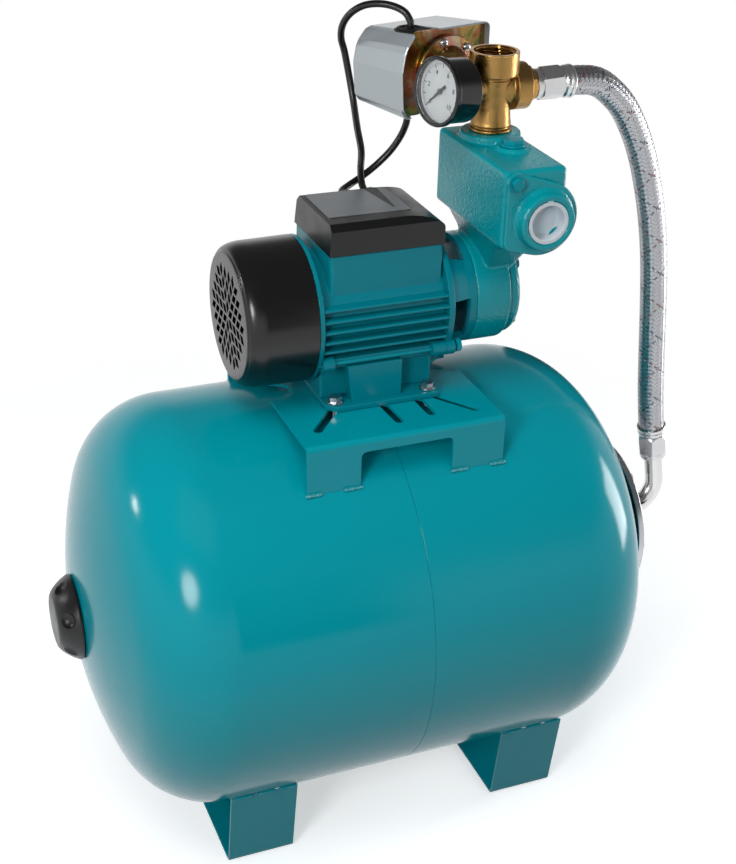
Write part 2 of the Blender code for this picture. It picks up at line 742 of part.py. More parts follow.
def motor_housing():
    """One casting: finned barrel, terminal base on top, and foot with its pads."""
    side = fin_side()
    outline = side + [(-y, z) for y, z in side[::-1]]
    barrel = prism(outline, MOTOR_LEFT, MOTOR_RIGHT, lift @ to_yz)
    corner = BASE_HALF + 5
    trim_left = box((MOTOR_LEFT - 5, -corner, SHAFT_Z + BODY_RADIUS), (BASE_LEFT, corner, SHAFT_Z + BASE_TOP + 5))
    pad_low = PLATE_TOP + GAP
    pad_high = PLATE_TOP + PAD_THICK
    chamfer = 8.0
    pad = [(PAD_LEFT + chamfer, -PAD_HALF), (PAD_RIGHT - 2, -PAD_HALF), (PAD_RIGHT, -PAD_HALF + 2),
           (PAD_RIGHT, PAD_HALF - 2), (PAD_RIGHT - 2, PAD_HALF), (PAD_LEFT + chamfer, PAD_HALF),
           (PAD_LEFT, PAD_HALF - chamfer), (PAD_LEFT, -PAD_HALF + chamfer)]
    pads = prism(pad, pad_low, pad_high)
    base_z = SHAFT_Z - BODY_RADIUS * 0.75
    pedestal = box((PAD_LEFT, -PEDESTAL_HALF, pad_high - 1), (PAD_RIGHT, PEDESTAL_HALF, base_z))
    lean = 2.0
    panel = prism([(PANEL_LEFT + lean, pad_high - 1), (PANEL_RIGHT + lean, pad_high - 1),
                   (PANEL_RIGHT - lean, PLATE_TOP + PANEL_TOP), (PANEL_LEFT - lean, PLATE_TOP + PANEL_TOP)],
                  -PANEL_HALF, PANEL_HALF, Matrix(((1, 0, 0, 0), (0, 0, 1, 0), (0, 1, 0, 0), (0, 0, 0, 1))))
    lugs = []
    for sign in (-1, 1):
        for low, high in ((MOTOR_LEFT, MOTOR_LEFT + 10), (MOTOR_RIGHT - 12, MOTOR_RIGHT)):
            lugs.append(rod(TIE_LUG, low, high, TINY, on_shaft(0, sign * TIE_BOLT_Y, TIE_BOLT_Z)))
    shape = join(barrel, pads, pedestal, panel, *lugs)
    bore = rod(STATOR_RADIUS + GAP, MOTOR_LEFT - 5, MOTOR_RIGHT + 5, LARGE, on_shaft())
    hollow = box((BASE_LEFT + BASE_WALL, -BASE_HALF + BASE_WALL, SHAFT_Z + BODY_RADIUS - 2),
                 (BASE_RIGHT - BASE_WALL, BASE_HALF - BASE_WALL, SHAFT_Z + BASE_TOP + 5))
    holes = [rod(BOLT_M6 + GAP, pad_low - 2, pad_high + 4, TINY, Matrix.Translation((x, y, 0)))
             for x, y in foot_bolt_places()]
    ties = [rod(TIE_BOLT + GAP, MOTOR_LEFT - 5, MOTOR_RIGHT + 5, TINY, on_shaft(0, sign * TIE_BOLT_Y, TIE_BOLT_Z))
            for sign in (-1, 1)]
    under = box((PAD_LEFT + 10, -PEDESTAL_HALF + 6, pad_low - 3), (PAD_RIGHT - 10, PEDESTAL_HALF - 6, pad_high + 12))
    finish("motor_housing", cut(shape, trim_left, bore, hollow, under, *holes, *ties), "teal_paint")


def stator_core():
    outline = []
    for k in range(STATOR_SLOTS):
        for offset, radius in ((-0.3, STATOR_BORE), (0.3, STATOR_BORE), (0.3, COIL_RADIUS - 3),
                               (0.7, COIL_RADIUS - 3)):
            angle = 2 * pi * (k + offset) / STATOR_SLOTS
            outline.append((radius * cos(angle), radius * sin(angle)))
    slots = prism(outline, -STATOR_LENGTH, STATOR_LENGTH, on_shaft())
    body = rod(STATOR_RADIUS, -STATOR_LENGTH / 2, STATOR_LENGTH / 2, LARGE, on_shaft((MOTOR_LEFT + MOTOR_RIGHT) / 2))
    finish("stator_core", cut(body, slots), "steel")


def stator_windings():
    """The coil heads at both ends of the core and the bars that join them through its slots."""
    middle = (MOTOR_LEFT + MOTOR_RIGHT) / 2
    heads = []
    for sign in (-1, 1):
        low = sign * (STATOR_LENGTH / 2 + GAP)
        high = low + sign * COIL_LENGTH
        profile = [(low, STATOR_BORE + 3), (low, COIL_RADIUS), (high - sign * 3, COIL_RADIUS),
                   (high, COIL_RADIUS - 3), (high, STATOR_BORE + 6), (high - sign * 3, STATOR_BORE + 3)]
        heads.append(revolve(profile, MEDIUM, on_shaft(middle), True))
    bars = []
    for k in range(STATOR_SLOTS):
        turn = on_shaft(middle) @ Matrix.Rotation(2 * pi * (k + 0.5) / STATOR_SLOTS, 4, "Z")
        bar = [(STATOR_BORE + 4, -2.2), (COIL_RADIUS - 4, -2.6), (COIL_RADIUS - 4, 2.6), (STATOR_BORE + 4, 2.2)]
        bars.append(prism(bar, -STATOR_LENGTH / 2 - 4, STATOR_LENGTH / 2 + 4, turn))
    finish("stator_windings", join(*heads, *bars), "copper")


ROTOR_LOW = (MOTOR_LEFT + MOTOR_RIGHT) / 2 - ROTOR_LENGTH / 2
ROTOR_HIGH = ROTOR_LOW + ROTOR_LENGTH
REAR_BEARING = MOTOR_LEFT + 6.0
FRONT_BEARING = MOTOR_RIGHT + LANTERN_FLANGE + 1.0
FAN_X = COVER_START - 12.0
SHAFT_LEFT = FAN_X - FAN_WIDTH
SHAFT_RIGHT = IMPELLER_X + IMPELLER_WIDTH / 2 + 1.5
pivot = (0, 0, SHAFT_Z)


def rotor_shaft():
    """The one shaft that carries fan, rotor and impeller."""
    big = SHAFT_RADIUS + 2
    profile = [(SHAFT_LEFT, 0), (SHAFT_LEFT, SHAFT_RADIUS - 0.5), (SHAFT_LEFT + 0.5, SHAFT_RADIUS),
               (REAR_BEARING + BEARING_WIDTH, SHAFT_RADIUS), (REAR_BEARING + BEARING_WIDTH, big),
               (ROTOR_LOW - 4, big), (ROTOR_LOW - 4, big), (ROTOR_HIGH + 4, big),
               (FRONT_BEARING - 1, big), (FRONT_BEARING - 1, SHAFT_RADIUS), (SHAFT_RIGHT, SHAFT_RADIUS),
               (SHAFT_RIGHT, 0)]
    finish("rotor_shaft", revolve(profile, SMALL, on_shaft()), "steel", pivot)


def rotor_core():
    shape = ring(SHAFT_RADIUS + 2 + GAP, STATOR_BORE - AIR_GAP, ROTOR_LOW, ROTOR_HIGH, MEDIUM, on_shaft())
    finish("rotor_core", shape, "steel", pivot)


def bearing(name, low):
    """A sealed ball bearing, drawn as one ring with a groove in each face."""
    inner = SHAFT_RADIUS + GAP
    outer = BEARING_OUTER
    high = low + BEARING_WIDTH
    groove = (inner + outer) / 2
    profile = [(low, inner), (low, groove - 2), (low + 0.8, groove), (low, groove + 2), (low, outer),
               (high, outer), (high, groove + 2), (high - 0.8, groove), (high, groove - 2), (high, inner)]
    finish(name, revolve(profile, MEDIUM, on_shaft(), True), "steel")


def rear_end_shield():
    """The casting at the fan end, with the rear bearing's seat and the two lower tie-bolt lugs."""
    seat = BEARING_OUTER + GAP
    low = MOTOR_LEFT - SHIELD_THICK
    high = MOTOR_LEFT - GAP
    hub = seat + 4
    inside = REAR_BEARING + BEARING_WIDTH
    profile = [(low, SHAFT_RADIUS + 1.5), (low, SHIELD_RADIUS), (high, SHIELD_RADIUS), (high, hub),
               (inside, hub), (inside, seat), (REAR_BEARING - GAP, seat), (REAR_BEARING - GAP, SHAFT_RADIUS + 1.5)]
    shape = revolve(profile, LARGE, on_shaft(), True)
    holes = [rod(TIE_BOLT + GAP, low - 5, high + 5, TINY, on_shaft(0, sign * TIE_BOLT_Y, TIE_BOLT_Z))
             for sign in (-1, 1)]
    finish("rear_end_shield", cut(shape, *holes), "teal_paint")


def tie_bolts():
    """Long bolts that clamp the end shield, the housing and the lantern together."""
    start = MOTOR_RIGHT + LANTERN_FLANGE + 5 + GAP
    reach = start - (MOTOR_LEFT - SHIELD_THICK + 0.5)
    for name, sign in (("tie_bolt_front", -1), ("tie_bolt_rear", 1)):
        place = on_shaft(start, sign * TIE_BOLT_Y, TIE_BOLT_Z)
        finish(name, bolt(place, TIE_BOLT, 6.0, reach, 5.0), "teal_paint")


def cooling_fan():
    """A radial fan with straight blades on a back plate, pressed on the shaft."""
    bore = SHAFT_RADIUS + GAP
    axis = on_shaft()
    low = FAN_X - FAN_WIDTH + 4
    hub = revolve([(low, bore), (low, FAN_HUB), (FAN_X - FAN_PLATE, FAN_HUB + 2), (FAN_X - FAN_PLATE, FAN_RADIUS),
                   (FAN_X, FAN_RADIUS), (FAN_X, bore)], MEDIUM, axis, True)
    blades = []
    for k in range(FAN_BLADES):
        turn = axis @ Matrix.Rotation(2 * pi * k / FAN_BLADES, 4, "Z")
        outline = [(FAN_HUB - 2, -1.1), (FAN_RADIUS - 1, -1.1), (FAN_RADIUS - 1, 1.1), (FAN_HUB - 2, 1.1)]
        blades.append(prism(outline, FAN_X - FAN_WIDTH + 2, FAN_X - 1, turn))
    finish("cooling_fan", join(hub, *blades), "black_plastic", pivot)


def grille_slots(low, high):
    """Cutters for six sectors of lozenge slots, with straight webs between the sectors."""
    tools = []
    shrink = GRILLE_WEB / 2 / sin(radians(60))
    for sector in range(6):
        first = radians(60 * sector + 30)
        second = first + radians(60)
        one = Vector((cos(first), sin(first)))
        two = Vector((cos(second), sin(second)))
        for i in range(GRILLE_ROWS):
            for j in range(GRILLE_ROWS - i):
                outline = []
                for a, b in ((shrink, shrink), (GRILLE_PITCH - shrink, shrink),
                             (GRILLE_PITCH - shrink, GRILLE_PITCH - shrink), (shrink, GRILLE_PITCH - shrink)):
                    point = one * (i * GRILLE_PITCH + a) + two * (j * GRILLE_PITCH + b)
                    outline.append((point.x, point.y))
                tools.append(prism(outline, low, high, on_shaft()))
    return tools


def fan_cover():
    """A deep drawn cover with a soft shoulder and a slotted end."""
    end = COVER_START - COVER_LENGTH
    shoulder = end + COVER_SHOULDER
    wall = COVER_WALL
    outer = [(COVER_START, COVER_RADIUS), (shoulder, COVER_RADIUS - 0.4)]
    drop = COVER_RADIUS - 0.4 - COVER_FACE
    for k in range(1, 5):
        angle = pi / 2 * k / 5
        outer.append((shoulder - (COVER_SHOULDER - 1.5) * sin(angle), COVER_FACE + drop * cos(angle)))
    outer += [(end + 1.0, COVER_FACE + 0.2), (end, COVER_FACE - 1.5), (end, 0)]
    inner = [(end + wall, 0), (end + wall, COVER_FACE - 2), (shoulder, COVER_RADIUS - 0.4 - wall),
             (COVER_START, COVER_RADIUS - wall)]
    shape = revolve(inner + outer, LARGE, on_shaft())
    tools = grille_slots(end - 2, end + wall + 2)
    finish("fan_cover", cut(shape, gather(tools)), "black_paint")


def terminal_lid():
    """The black lid of the terminal box, flat on top and falling in a curve at the pump end."""
    low = SHAFT_Z + BASE_TOP + GAP
    top = low + LID_HEIGHT
    lean = 2.0
    flat_end = BASE_RIGHT - 34
    sweep_points = []
    steps = 6
    for k in range(steps + 1):
        share = k / steps
        x = flat_end + (BASE_RIGHT - flat_end) * sin(share * pi / 2)
        z = low + LID_LOW_END + (LID_HEIGHT - LID_LOW_END) * cos(share * pi / 2)
        sweep_points.append((x, z))
    outline = [(BASE_LEFT, low), (BASE_RIGHT, low)] + sweep_points[::-1] + [(BASE_LEFT + lean, top)]
    to_xz = Matrix(((1, 0, 0, 0), (0, 0, 1, 0), (0, 1, 0, 0), (0, 0, 0, 1)))
    shape = prism(outline, -BASE_HALF, BASE_HALF, to_xz)
    slopes = []
    for sign in (-1, 1):
        wedge = [(sign * (BASE_HALF + 5), low - 5), (sign * (BASE_HALF + 5), top + 5),
                 (sign * (BASE_HALF - 7), top + 5), (sign * (BASE_HALF - 7), top),
                 (sign * (BASE_HALF - 1), top - 5), (sign * BASE_HALF, low), (sign * BASE_HALF, low - 5)]
        slopes.append(prism(wedge, BASE_LEFT - 5, BASE_RIGHT + 5, to_yz))
    wall = LID_WALL
    hollow = box((BASE_LEFT + wall + 2, -BASE_HALF + wall + 2, low - 5),
                 (BASE_RIGHT - wall - 2, BASE_HALF - wall - 2, low + LID_LOW_END - wall))
    glands = [rod(GLAND_RADIUS * 0.6 + GAP, 20, 60, TINY, frame_on((x, 0, SHAFT_Z + GLAND_RISE), Y_AXIS))
              for x in (GLAND_LEFT_X, GLAND_RIGHT_X)]
    finish("terminal_lid", cut(shape, hollow, *slopes, *glands), "black_plastic")


LID_TOP = SHAFT_Z + BASE_TOP + GAP + LID_HEIGHT


def run_capacitor():
    """The start capacitor that lies in the terminal base."""
    floor = SHAFT_Z + BODY_RADIUS - 2 + GAP
    radius = 10.5
    axis = frame_on((0, -20, floor + radius), X_AXIS)
    profile = [(-30, 0), (-30, radius - 1), (-29, radius), (26, radius), (27, radius - 1), (27, 4), (30, 4), (30, 0)]
    finish("run_capacitor", revolve(profile, SMALL, axis), "grey_plastic")


def cable_glands():
    """A double gland in the lid's rear wall: two stubs with dome nuts on one strip."""
    glands = []
    for x in (GLAND_LEFT_X, GLAND_RIGHT_X):
        axis = frame_on((x, BASE_HALF, SHAFT_Z + GLAND_RISE), Y_AXIS)
        stub = GLAND_RADIUS * 0.6
        end = GLAND_LENGTH
        profile = [(-8, CABLE_RADIUS - 1), (-8, stub), (GAP, stub), (GAP, GLAND_RADIUS), (end * 0.6, GLAND_RADIUS),
                   (end, GLAND_RADIUS * 0.62), (end, CABLE_RADIUS - 1)]
        glands.append(revolve(profile, TINY, axis, True))
    strip = box((GLAND_LEFT_X - 4, BASE_HALF + GAP, SHAFT_Z + GLAND_RISE - 5),
                (GLAND_RIGHT_X + 4, BASE_HALF + 3, SHAFT_Z + GLAND_RISE + 5))
    holes = [rod(CABLE_RADIUS - 1, -2, 6, TINY, frame_on((x, BASE_HALF, SHAFT_Z + GLAND_RISE), Y_AXIS))
             for x in (GLAND_LEFT_X, GLAND_RIGHT_X)]
    finish("cable_glands", join(cut(strip, *holes), *glands), "black_plastic")


# Lantern, pump and its inner parts

def pump_lantern():
    """The open bracket between motor and pump, which also seats the front bearing."""
    low = MOTOR_RIGHT + GAP
    flange = low + LANTERN_FLANGE
    high = LANTERN_END
    wall = LANTERN_WALL
    seat = BEARING_OUTER + GAP
    bearing_end = FRONT_BEARING + BEARING_WIDTH
    hub = seat + 4
    hole = SEAL_HOLE + 3
    profile = [(low, seat), (low, FIN_RADIUS - 1), (flange, FIN_RADIUS - 1), (flange + 1.5, CASING_RADIUS + 5),
               (high - 8, CASING_RADIUS), (high, CASING_RADIUS), (high, hole), (high - wall, hole),
               (high - wall, CASING_RADIUS - wall - 2), (flange, CASING_RADIUS - wall), (flange, hub),
               (bearing_end + GAP, hub), (bearing_end + GAP, seat)]
    shape = revolve(profile, LARGE, on_shaft(), True)
    tools = []
    for k in range(LANTERN_WINDOWS):
        centre = 45 + 360 / LANTERN_WINDOWS * k
        outline = arc((0, 0), CASING_RADIUS + 20, centre - WINDOW_ANGLE / 2, centre + WINDOW_ANGLE / 2, 3)
        outline += arc((0, 0), hub + 3.3, centre + WINDOW_ANGLE / 2 + 3, centre - WINDOW_ANGLE / 2 - 3, 3)
        tools.append(prism(outline, flange + 2.7, high - wall - 2.2, on_shaft()))
    lugs = []
    for sign in (-1, 1):
        place = on_shaft(0, sign * TIE_BOLT_Y, TIE_BOLT_Z)
        lugs.append(rod(TIE_LUG, low, flange + 5 - GAP, TINY, place))
        tools.append(rod(TIE_BOLT + GAP, low - 5, flange + 12, TINY, place))
    finish("pump_lantern", cut(join(shape, *lugs), *tools), "teal_paint")


def slinger_ring():
    """A rubber disc that throws leaked water off the shaft."""
    middle = LANTERN_END - 10
    profile = [(middle - 3, SHAFT_RADIUS + GAP), (middle - 3, 9), (middle - 1, 9), (middle - 1, SLINGER_RADIUS),
               (middle + 1, SLINGER_RADIUS), (middle + 1, SHAFT_RADIUS + GAP)]
    finish("slinger_ring", revolve(profile, SMALL, on_shaft(), True), "rubber", pivot)


WHEEL_LOW = IMPELLER_X - IMPELLER_WIDTH / 2
WHEEL_HIGH = IMPELLER_X + IMPELLER_WIDTH / 2
BACK_WALL = WHEEL_LOW - 2.0


def impeller():
    """A peripheral impeller: a disc whose rim is cut into short radial vanes on both sides."""
    outline = []
    root = IMPELLER_RADIUS - 6
    for k in range(IMPELLER_BLADES):
        for offset, radius in ((-0.32, root), (-0.2, IMPELLER_RADIUS), (0.2, IMPELLER_RADIUS), (0.32, root)):
            angle = 2 * pi * (k + offset) / IMPELLER_BLADES
            outline.append((radius * cos(angle), radius * sin(angle)))
    vanes = prism(outline, WHEEL_LOW, WHEEL_HIGH, on_shaft())
    web = rod(IMPELLER_RADIUS - 1, IMPELLER_X - 1, IMPELLER_X + 1, MEDIUM, on_shaft())
    bore = rod(SHAFT_RADIUS + GAP, WHEEL_LOW - 5, WHEEL_HIGH + 5, SMALL, on_shaft())
    finish("impeller", cut(join(vanes, web), bore), "brass", pivot)


def loft(sections):
    """A closed body through rectangles (x1, x2, y1, y2, z), from the lowest up."""
    vertices = []
    for x1, x2, y1, y2, z in sections:
        vertices += [(x1, y1, z), (x2, y1, z), (x2, y2, z), (x1, y2, z)]
    faces = [[3, 2, 1, 0], [len(vertices) - 4 + k for k in range(4)]]
    for row in range(len(sections) - 1):
        for k in range(4):
            a = row * 4 + k
            b = row * 4 + (k + 1) % 4
            faces.append([a, b, b + 4, a + 4])
    return mesh_object(vertices, faces)


def rounded(shape, width, segments=2, angle=40):
    """Bevel the shape's sharper edges."""
    modifier = shape.modifiers.new("round", "BEVEL")
    modifier.width = width
    modifier.segments = segments
    modifier.limit_method = "ANGLE"
    modifier.angle_limit = radians(angle)
    bpy.context.view_layer.update()
    evaluated = shape.evaluated_get(bpy.context.evaluated_depsgraph_get())
    shape.data = bpy.data.meshes.new_from_object(evaluated)
    shape.modifiers.clear()
    return shape


CASING_LOW = LANTERN_END + GAP
suction_axis = frame_on((SUCTION_X, 0, SUCTION_Z), -Y_AXIS)


def pump_casing():
    """One casting: round impeller casing, neck, and the priming chamber with its two ports."""
    axis = on_shaft()
    step = NECK_LEFT - 1
    volute = revolve([(CASING_LOW, 0), (CASING_LOW, CASING_RADIUS - 1), (CASING_LOW + 1, CASING_RADIUS),
                      (CASING_END, CASING_RADIUS), (CASING_END, 0)], LARGE, axis)
    ledge = box((step, NECK_FRONT - 1.5, SHAFT_Z + 10), (CASING_END, -20, SHAFT_Z + 27))
    neck = rounded(loft([(NECK_LEFT, NECK_RIGHT, NECK_FRONT + 2, NECK_BACK, SHAFT_Z + 24),
                         (NECK_LEFT, NECK_RIGHT, NECK_FRONT, NECK_BACK, SHAFT_Z + 30),
                         (NECK_LEFT - 6, NECK_RIGHT + 5, NECK_FRONT - 18, NECK_BACK + 3, HEAD_BOTTOM - 13),
                         (HEAD_LEFT + 1, HEAD_RIGHT - 1, HEAD_FRONT + 3, NECK_BACK + 14, HEAD_BOTTOM + 6),
                         (HEAD_LEFT + 1, HEAD_RIGHT - 1, HEAD_FRONT + 2, NECK_BACK + 16, HEAD_BOTTOM + 12)]), 3.0)
    chamber = rounded(box((HEAD_LEFT, HEAD_FRONT, HEAD_BOTTOM), (HEAD_RIGHT, HEAD_BACK, HEAD_TOP)), 4.0)
    port = Matrix.Translation((PORT_X, 0, 0))
    boss = revolve([(HEAD_TOP - 10, 0), (HEAD_TOP - 10, BOSS_RADIUS), (BOSS_TOP - 1.5, BOSS_RADIUS),
                    (BOSS_TOP, BOSS_RADIUS - 1.5), (BOSS_TOP, 0)], MEDIUM, port)
    priming = revolve([(HEAD_TOP - 10, 0), (HEAD_TOP - 10, PRIMING_BOSS), (HEAD_TOP + PRIMING_BOSS_HEIGHT - 1.5, PRIMING_BOSS),
                       (HEAD_TOP + PRIMING_BOSS_HEIGHT, PRIMING_BOSS - 1.5), (HEAD_TOP + PRIMING_BOSS_HEIGHT, 0)], SMALL,
                      Matrix.Translation((PRIMING_X, PRIMING_Y, 0)))
    shape = join(chamber, neck, volute, ledge, boss, priming)
    wall = HEAD_WALL
    cavity = box((HEAD_LEFT + wall, HEAD_FRONT + wall, HEAD_BOTTOM + wall),
                 (HEAD_RIGHT - wall, HEAD_BACK - wall, HEAD_TOP - wall))
    passage = box((NECK_LEFT + 4, NECK_FRONT + 9, SHAFT_Z + 20), (NECK_RIGHT - 5, NECK_BACK - 5, HEAD_BOTTOM + 20))
    lid = rod(COVER_PLATE_RADIUS + 1, CASING_END, CASING_END + 20, LARGE, axis)
    wheel = rod(IMPELLER_RADIUS + 1.2, BACK_WALL, CASING_END + 5, MEDIUM, axis)
    seal = rod(SEAL_HOLE, CASING_LOW - 5, BACK_WALL + 5, MEDIUM, axis)
    thread = rod(PORT_THREAD + GAP, HEAD_TOP - wall - 5, BOSS_TOP + 5, MEDIUM, port)
    inlet = rod(SUCTION_BORE, -HEAD_FRONT - wall - 5, -HEAD_FRONT + 5, MEDIUM, suction_axis)
    filler = rod(PRIMING_THREAD + GAP, HEAD_TOP - wall - 5, HEAD_TOP + PRIMING_BOSS_HEIGHT + 5, SMALL,
                 Matrix.Translation((PRIMING_X, PRIMING_Y, 0)))
    holes = [rod(BOLT_M6 - 0.5 + GAP, -HEAD_FRONT - 4, -HEAD_FRONT + 5, TINY, suction_ear(sign)) for sign in (-1, 1)]
    finish("pump_casing", cut(shape, cavity, passage, lid, wheel, seal, thread, inlet, filler, *holes), "teal_paint")


def suction_ear(sign):
    """Frame of one suction flange bolt, looking out of the suction port."""
    angle = radians(127)
    x = SUCTION_X + sign * SUCTION_EAR * cos(angle)
    z = SUCTION_Z + sign * SUCTION_EAR * sin(angle)
    return frame_on((x, 0, z), -Y_AXIS)


def suction_flange():
    """The inlet flange with its threaded socket, held by a bolt at each of its two ears."""
    low = -HEAD_FRONT + GAP
    face = low + SUCTION_FLANGE_THICK
    front = -SUCTION_FACE
    profile = [(low, SUCTION_BORE), (low, SUCTION_FLANGE), (face - 1, SUCTION_FLANGE), (face, SUCTION_FLANGE - 1),
               (face, SUCTION_ROOT + 1), (face + 1.5, SUCTION_ROOT), (front - 1, SUCTION_RADIUS + 0.4),
               (front, SUCTION_RADIUS - 0.6), (front, SUCTION_BORE + 1.6), (front - 2, SUCTION_BORE)]
    shape = revolve(profile, MEDIUM, suction_axis, True)
    ears = [rod(SUCTION_EAR_RADIUS, low, face - 0.5, TINY, suction_ear(sign)) for sign in (-1, 1)]
    holes = [rod(BOLT_M6 - 0.5 + GAP, low - 4, face + 5, TINY, suction_ear(sign)) for sign in (-1, 1)]
    core = rod(SUCTION_BORE, low - 5, low + 12, MEDIUM, suction_axis)
    finish("suction_flange", cut(join(shape, *ears), core, *holes), "teal_paint")


def suction_bolts():
    under = -HEAD_FRONT + 2 * GAP + SUCTION_FLANGE_THICK - 0.5
    for name, sign in (("suction_bolt_low", -1), ("suction_bolt_high", 1)):
        place = suction_ear(sign) @ Matrix.Translation((0, 0, under))
        finish(name, bolt(place, BOLT_M6 - 0.5, 6.2, 9.0), "teal_paint")


def suction_plug():
    """The transit plug in the inlet: a thin cup with a rim and a pull tab."""
    front = -SUCTION_FACE
    wall = 1.2
    outside = SUCTION_BORE - GAP
    profile = [(front - 13, 0), (front - 13, outside), (front - 2.0, outside), (front + GAP, SUCTION_BORE + 1.3),
               (front + 1.8, SUCTION_BORE + 1.8), (front + 1.8, outside - wall), (front - 13 + wall, outside - wall),
               (front - 13 + wall, 0)]
    cup = revolve(profile, MEDIUM, suction_axis)
    tab = rod(1.8, front + 0.5, front + 1.8, TINY, suction_axis @ Matrix.Translation((SUCTION_BORE + 2.6, 0, 0)))
    finish("suction_plug", join(cup, tab), "white_plastic")


FLAP_X = SUCTION_X - 1.6
FLAP_TOP = SUCTION_Z + SUCTION_BORE + 4
FLAP_Y = HEAD_FRONT + HEAD_WALL + GAP


def check_flap():
    """The non-return flap that hangs over the inlet inside the chamber."""
    disc = rod(SUCTION_BORE + 1.4, 0, 2.5, MEDIUM, frame_on((FLAP_X, FLAP_Y, SUCTION_Z), Y_AXIS))
    arm = box((FLAP_X - 6, FLAP_Y, SUCTION_Z + 10), (FLAP_X + 6, FLAP_Y + 2.5, FLAP_TOP + 1))
    eye = rod(1.8, -6.5, 6.5, TINY, frame_on((FLAP_X, FLAP_Y + 1.9, FLAP_TOP), X_AXIS))
    finish("check_flap", join(disc, arm, eye), "rubber", (FLAP_X, FLAP_Y + 1.9, FLAP_TOP))


def priming_plug():
    """The hexagon plug in the filling hole, which lifts out."""
    seat = HEAD_TOP + PRIMING_BOSS_HEIGHT + GAP
    place = Matrix.Translation((PRIMING_X, PRIMING_Y, 0))
    stem = revolve([(HEAD_TOP - HEAD_WALL + 1, 0), (HEAD_TOP - HEAD_WALL + 1, PRIMING_THREAD), (seat, PRIMING_THREAD),
                    (seat, PRIMING_HEX + 1), (seat + 1.5, PRIMING_HEX + 1), (seat + 1.5, 0)], SMALL, place)
    head = rounded(hex_head(PRIMING_HEX, seat + 1, seat + 6.5, place), 0.6, 1)
    finish("priming_plug", join(stem, head), "teal_paint")


def pump_cover():
    """The front cover that closes the impeller's chamber."""
    low = CASING_END + GAP
    high = COVER_PLATE_END
    profile = [(low, 0), (low, COVER_PLATE_RADIUS), (high - 4, COVER_PLATE_RADIUS), (high - 1.2, COVER_PLATE_RADIUS - 1.2),
               (high, COVER_PLATE_RADIUS - 4), (high, 16), (high - 2, 14), (high - 2, 0)]
    finish("pump_cover", revolve(profile, LARGE, on_shaft()), "teal_paint")


# Five-way fitting

GAUGE_AXIS = Vector((-cos(radians(GAUGE_TURN)) * cos(radians(GAUGE_TILT)),
                     -sin(radians(GAUGE_TURN)) * cos(radians(GAUGE_TILT)), sin(radians(GAUGE_TILT))))
SWITCH_AXIS = Vector((-sin(radians(SWITCH_TURN)), cos(radians(SWITCH_TURN)), 0))
port_centre = (PORT_X, 0, SIDE_PORT_Z)
gauge_axis = frame_on(port_centre, GAUGE_AXIS)
switch_axis = frame_on(port_centre, SWITCH_AXIS)


def five_way_fitting():
    """Brass: threaded stem, waist, top socket, side socket for the hose and two small ports."""
    low = HEAD_TOP + 2
    stem = PORT_THREAD
    lip = BOSS_TOP + GAP
    side = SIDE_PORT_Z
    profile = [(low, 0), (low, stem), (lip, stem), (lip, stem + 1.6), (lip + 2.5, stem + 1.6), (lip + 3, stem),
               (lip + 4.5, stem), (lip + 5, stem + 1.2), (lip + 8, stem + 0.6), (side - 16, 15.3), (side - 8, 15.6),
               (side + 7, 17.4), (side + 8, 16.4), (side + 9.5, 16.4), (side + 10.5, TOP_PORT_RADIUS),
               (FITTING_TOP, TOP_PORT_RADIUS), (FITTING_TOP, 0)]
    body = revolve(profile, MEDIUM, Matrix.Translation((PORT_X, 0, 0)))
    socket_axis = frame_on((0, 0, side), X_AXIS)
    socket = revolve([(PORT_X + 3, 0), (PORT_X + 3, 14.5), (SIDE_PORT_END - 15, 14.8), (SIDE_PORT_END - 14, SIDE_PORT_RADIUS),
                      (SIDE_PORT_END, SIDE_PORT_RADIUS), (SIDE_PORT_END, 0)], MEDIUM, socket_axis)
    small = [rod(SMALL_PORT_RADIUS, 5, SMALL_PORT_REACH, SMALL, axis) for axis in (gauge_axis, switch_axis)]
    shape = join(body, socket, *small)
    place = Matrix.Translation((PORT_X, 0, 0)) @ Matrix.Rotation(0.05, 4, "Z")
    bore = rod(FITTING_BORE, low - 5, FITTING_TOP - 12, MEDIUM, place)
    mouth = rod(TOP_PORT_THREAD, FITTING_TOP - 14, FITTING_TOP + 5, MEDIUM, place)
    side_bore = rod(FITTING_BORE - 1, PORT_X + 2, SIDE_PORT_END + 5, SMALL, socket_axis)
    small_bores = [rod(SMALL_PORT_BORE, 0, SMALL_PORT_REACH + 5, TINY, axis) for axis in (gauge_axis, switch_axis)]
    finish("five_way_fitting", cut(shape, bore, mouth, side_bore, *small_bores), "brass")


def hose_nipple():
    """The hexagon nipple between the fitting and the hose."""
    axis = frame_on((0, 0, SIDE_PORT_Z), X_AXIS)
    low = SIDE_PORT_END + GAP
    inside = FITTING_BORE - 1 - GAP
    stem = revolve([(low - 10, 0), (low - 10, inside), (low + 1, inside), (low + 1, 13.0), (NIPPLE_END - GAP, 12.0),
                    (NIPPLE_END - GAP, 0)], SMALL, axis)
    head = rounded(hex_head(15.5, low, low + 5, axis), 0.8, 1)
    bore = rod(8, low - 20, NIPPLE_END + 5, SMALL, axis)
    finish("hose_nipple", cut(join(stem, head), bore), "brass")


# Gauge

GAUGE_DIAL = GAUGE_FRONT - 6.0
gauge_centre = Vector(port_centre) + GAUGE_AXIS * GAUGE_DIAL


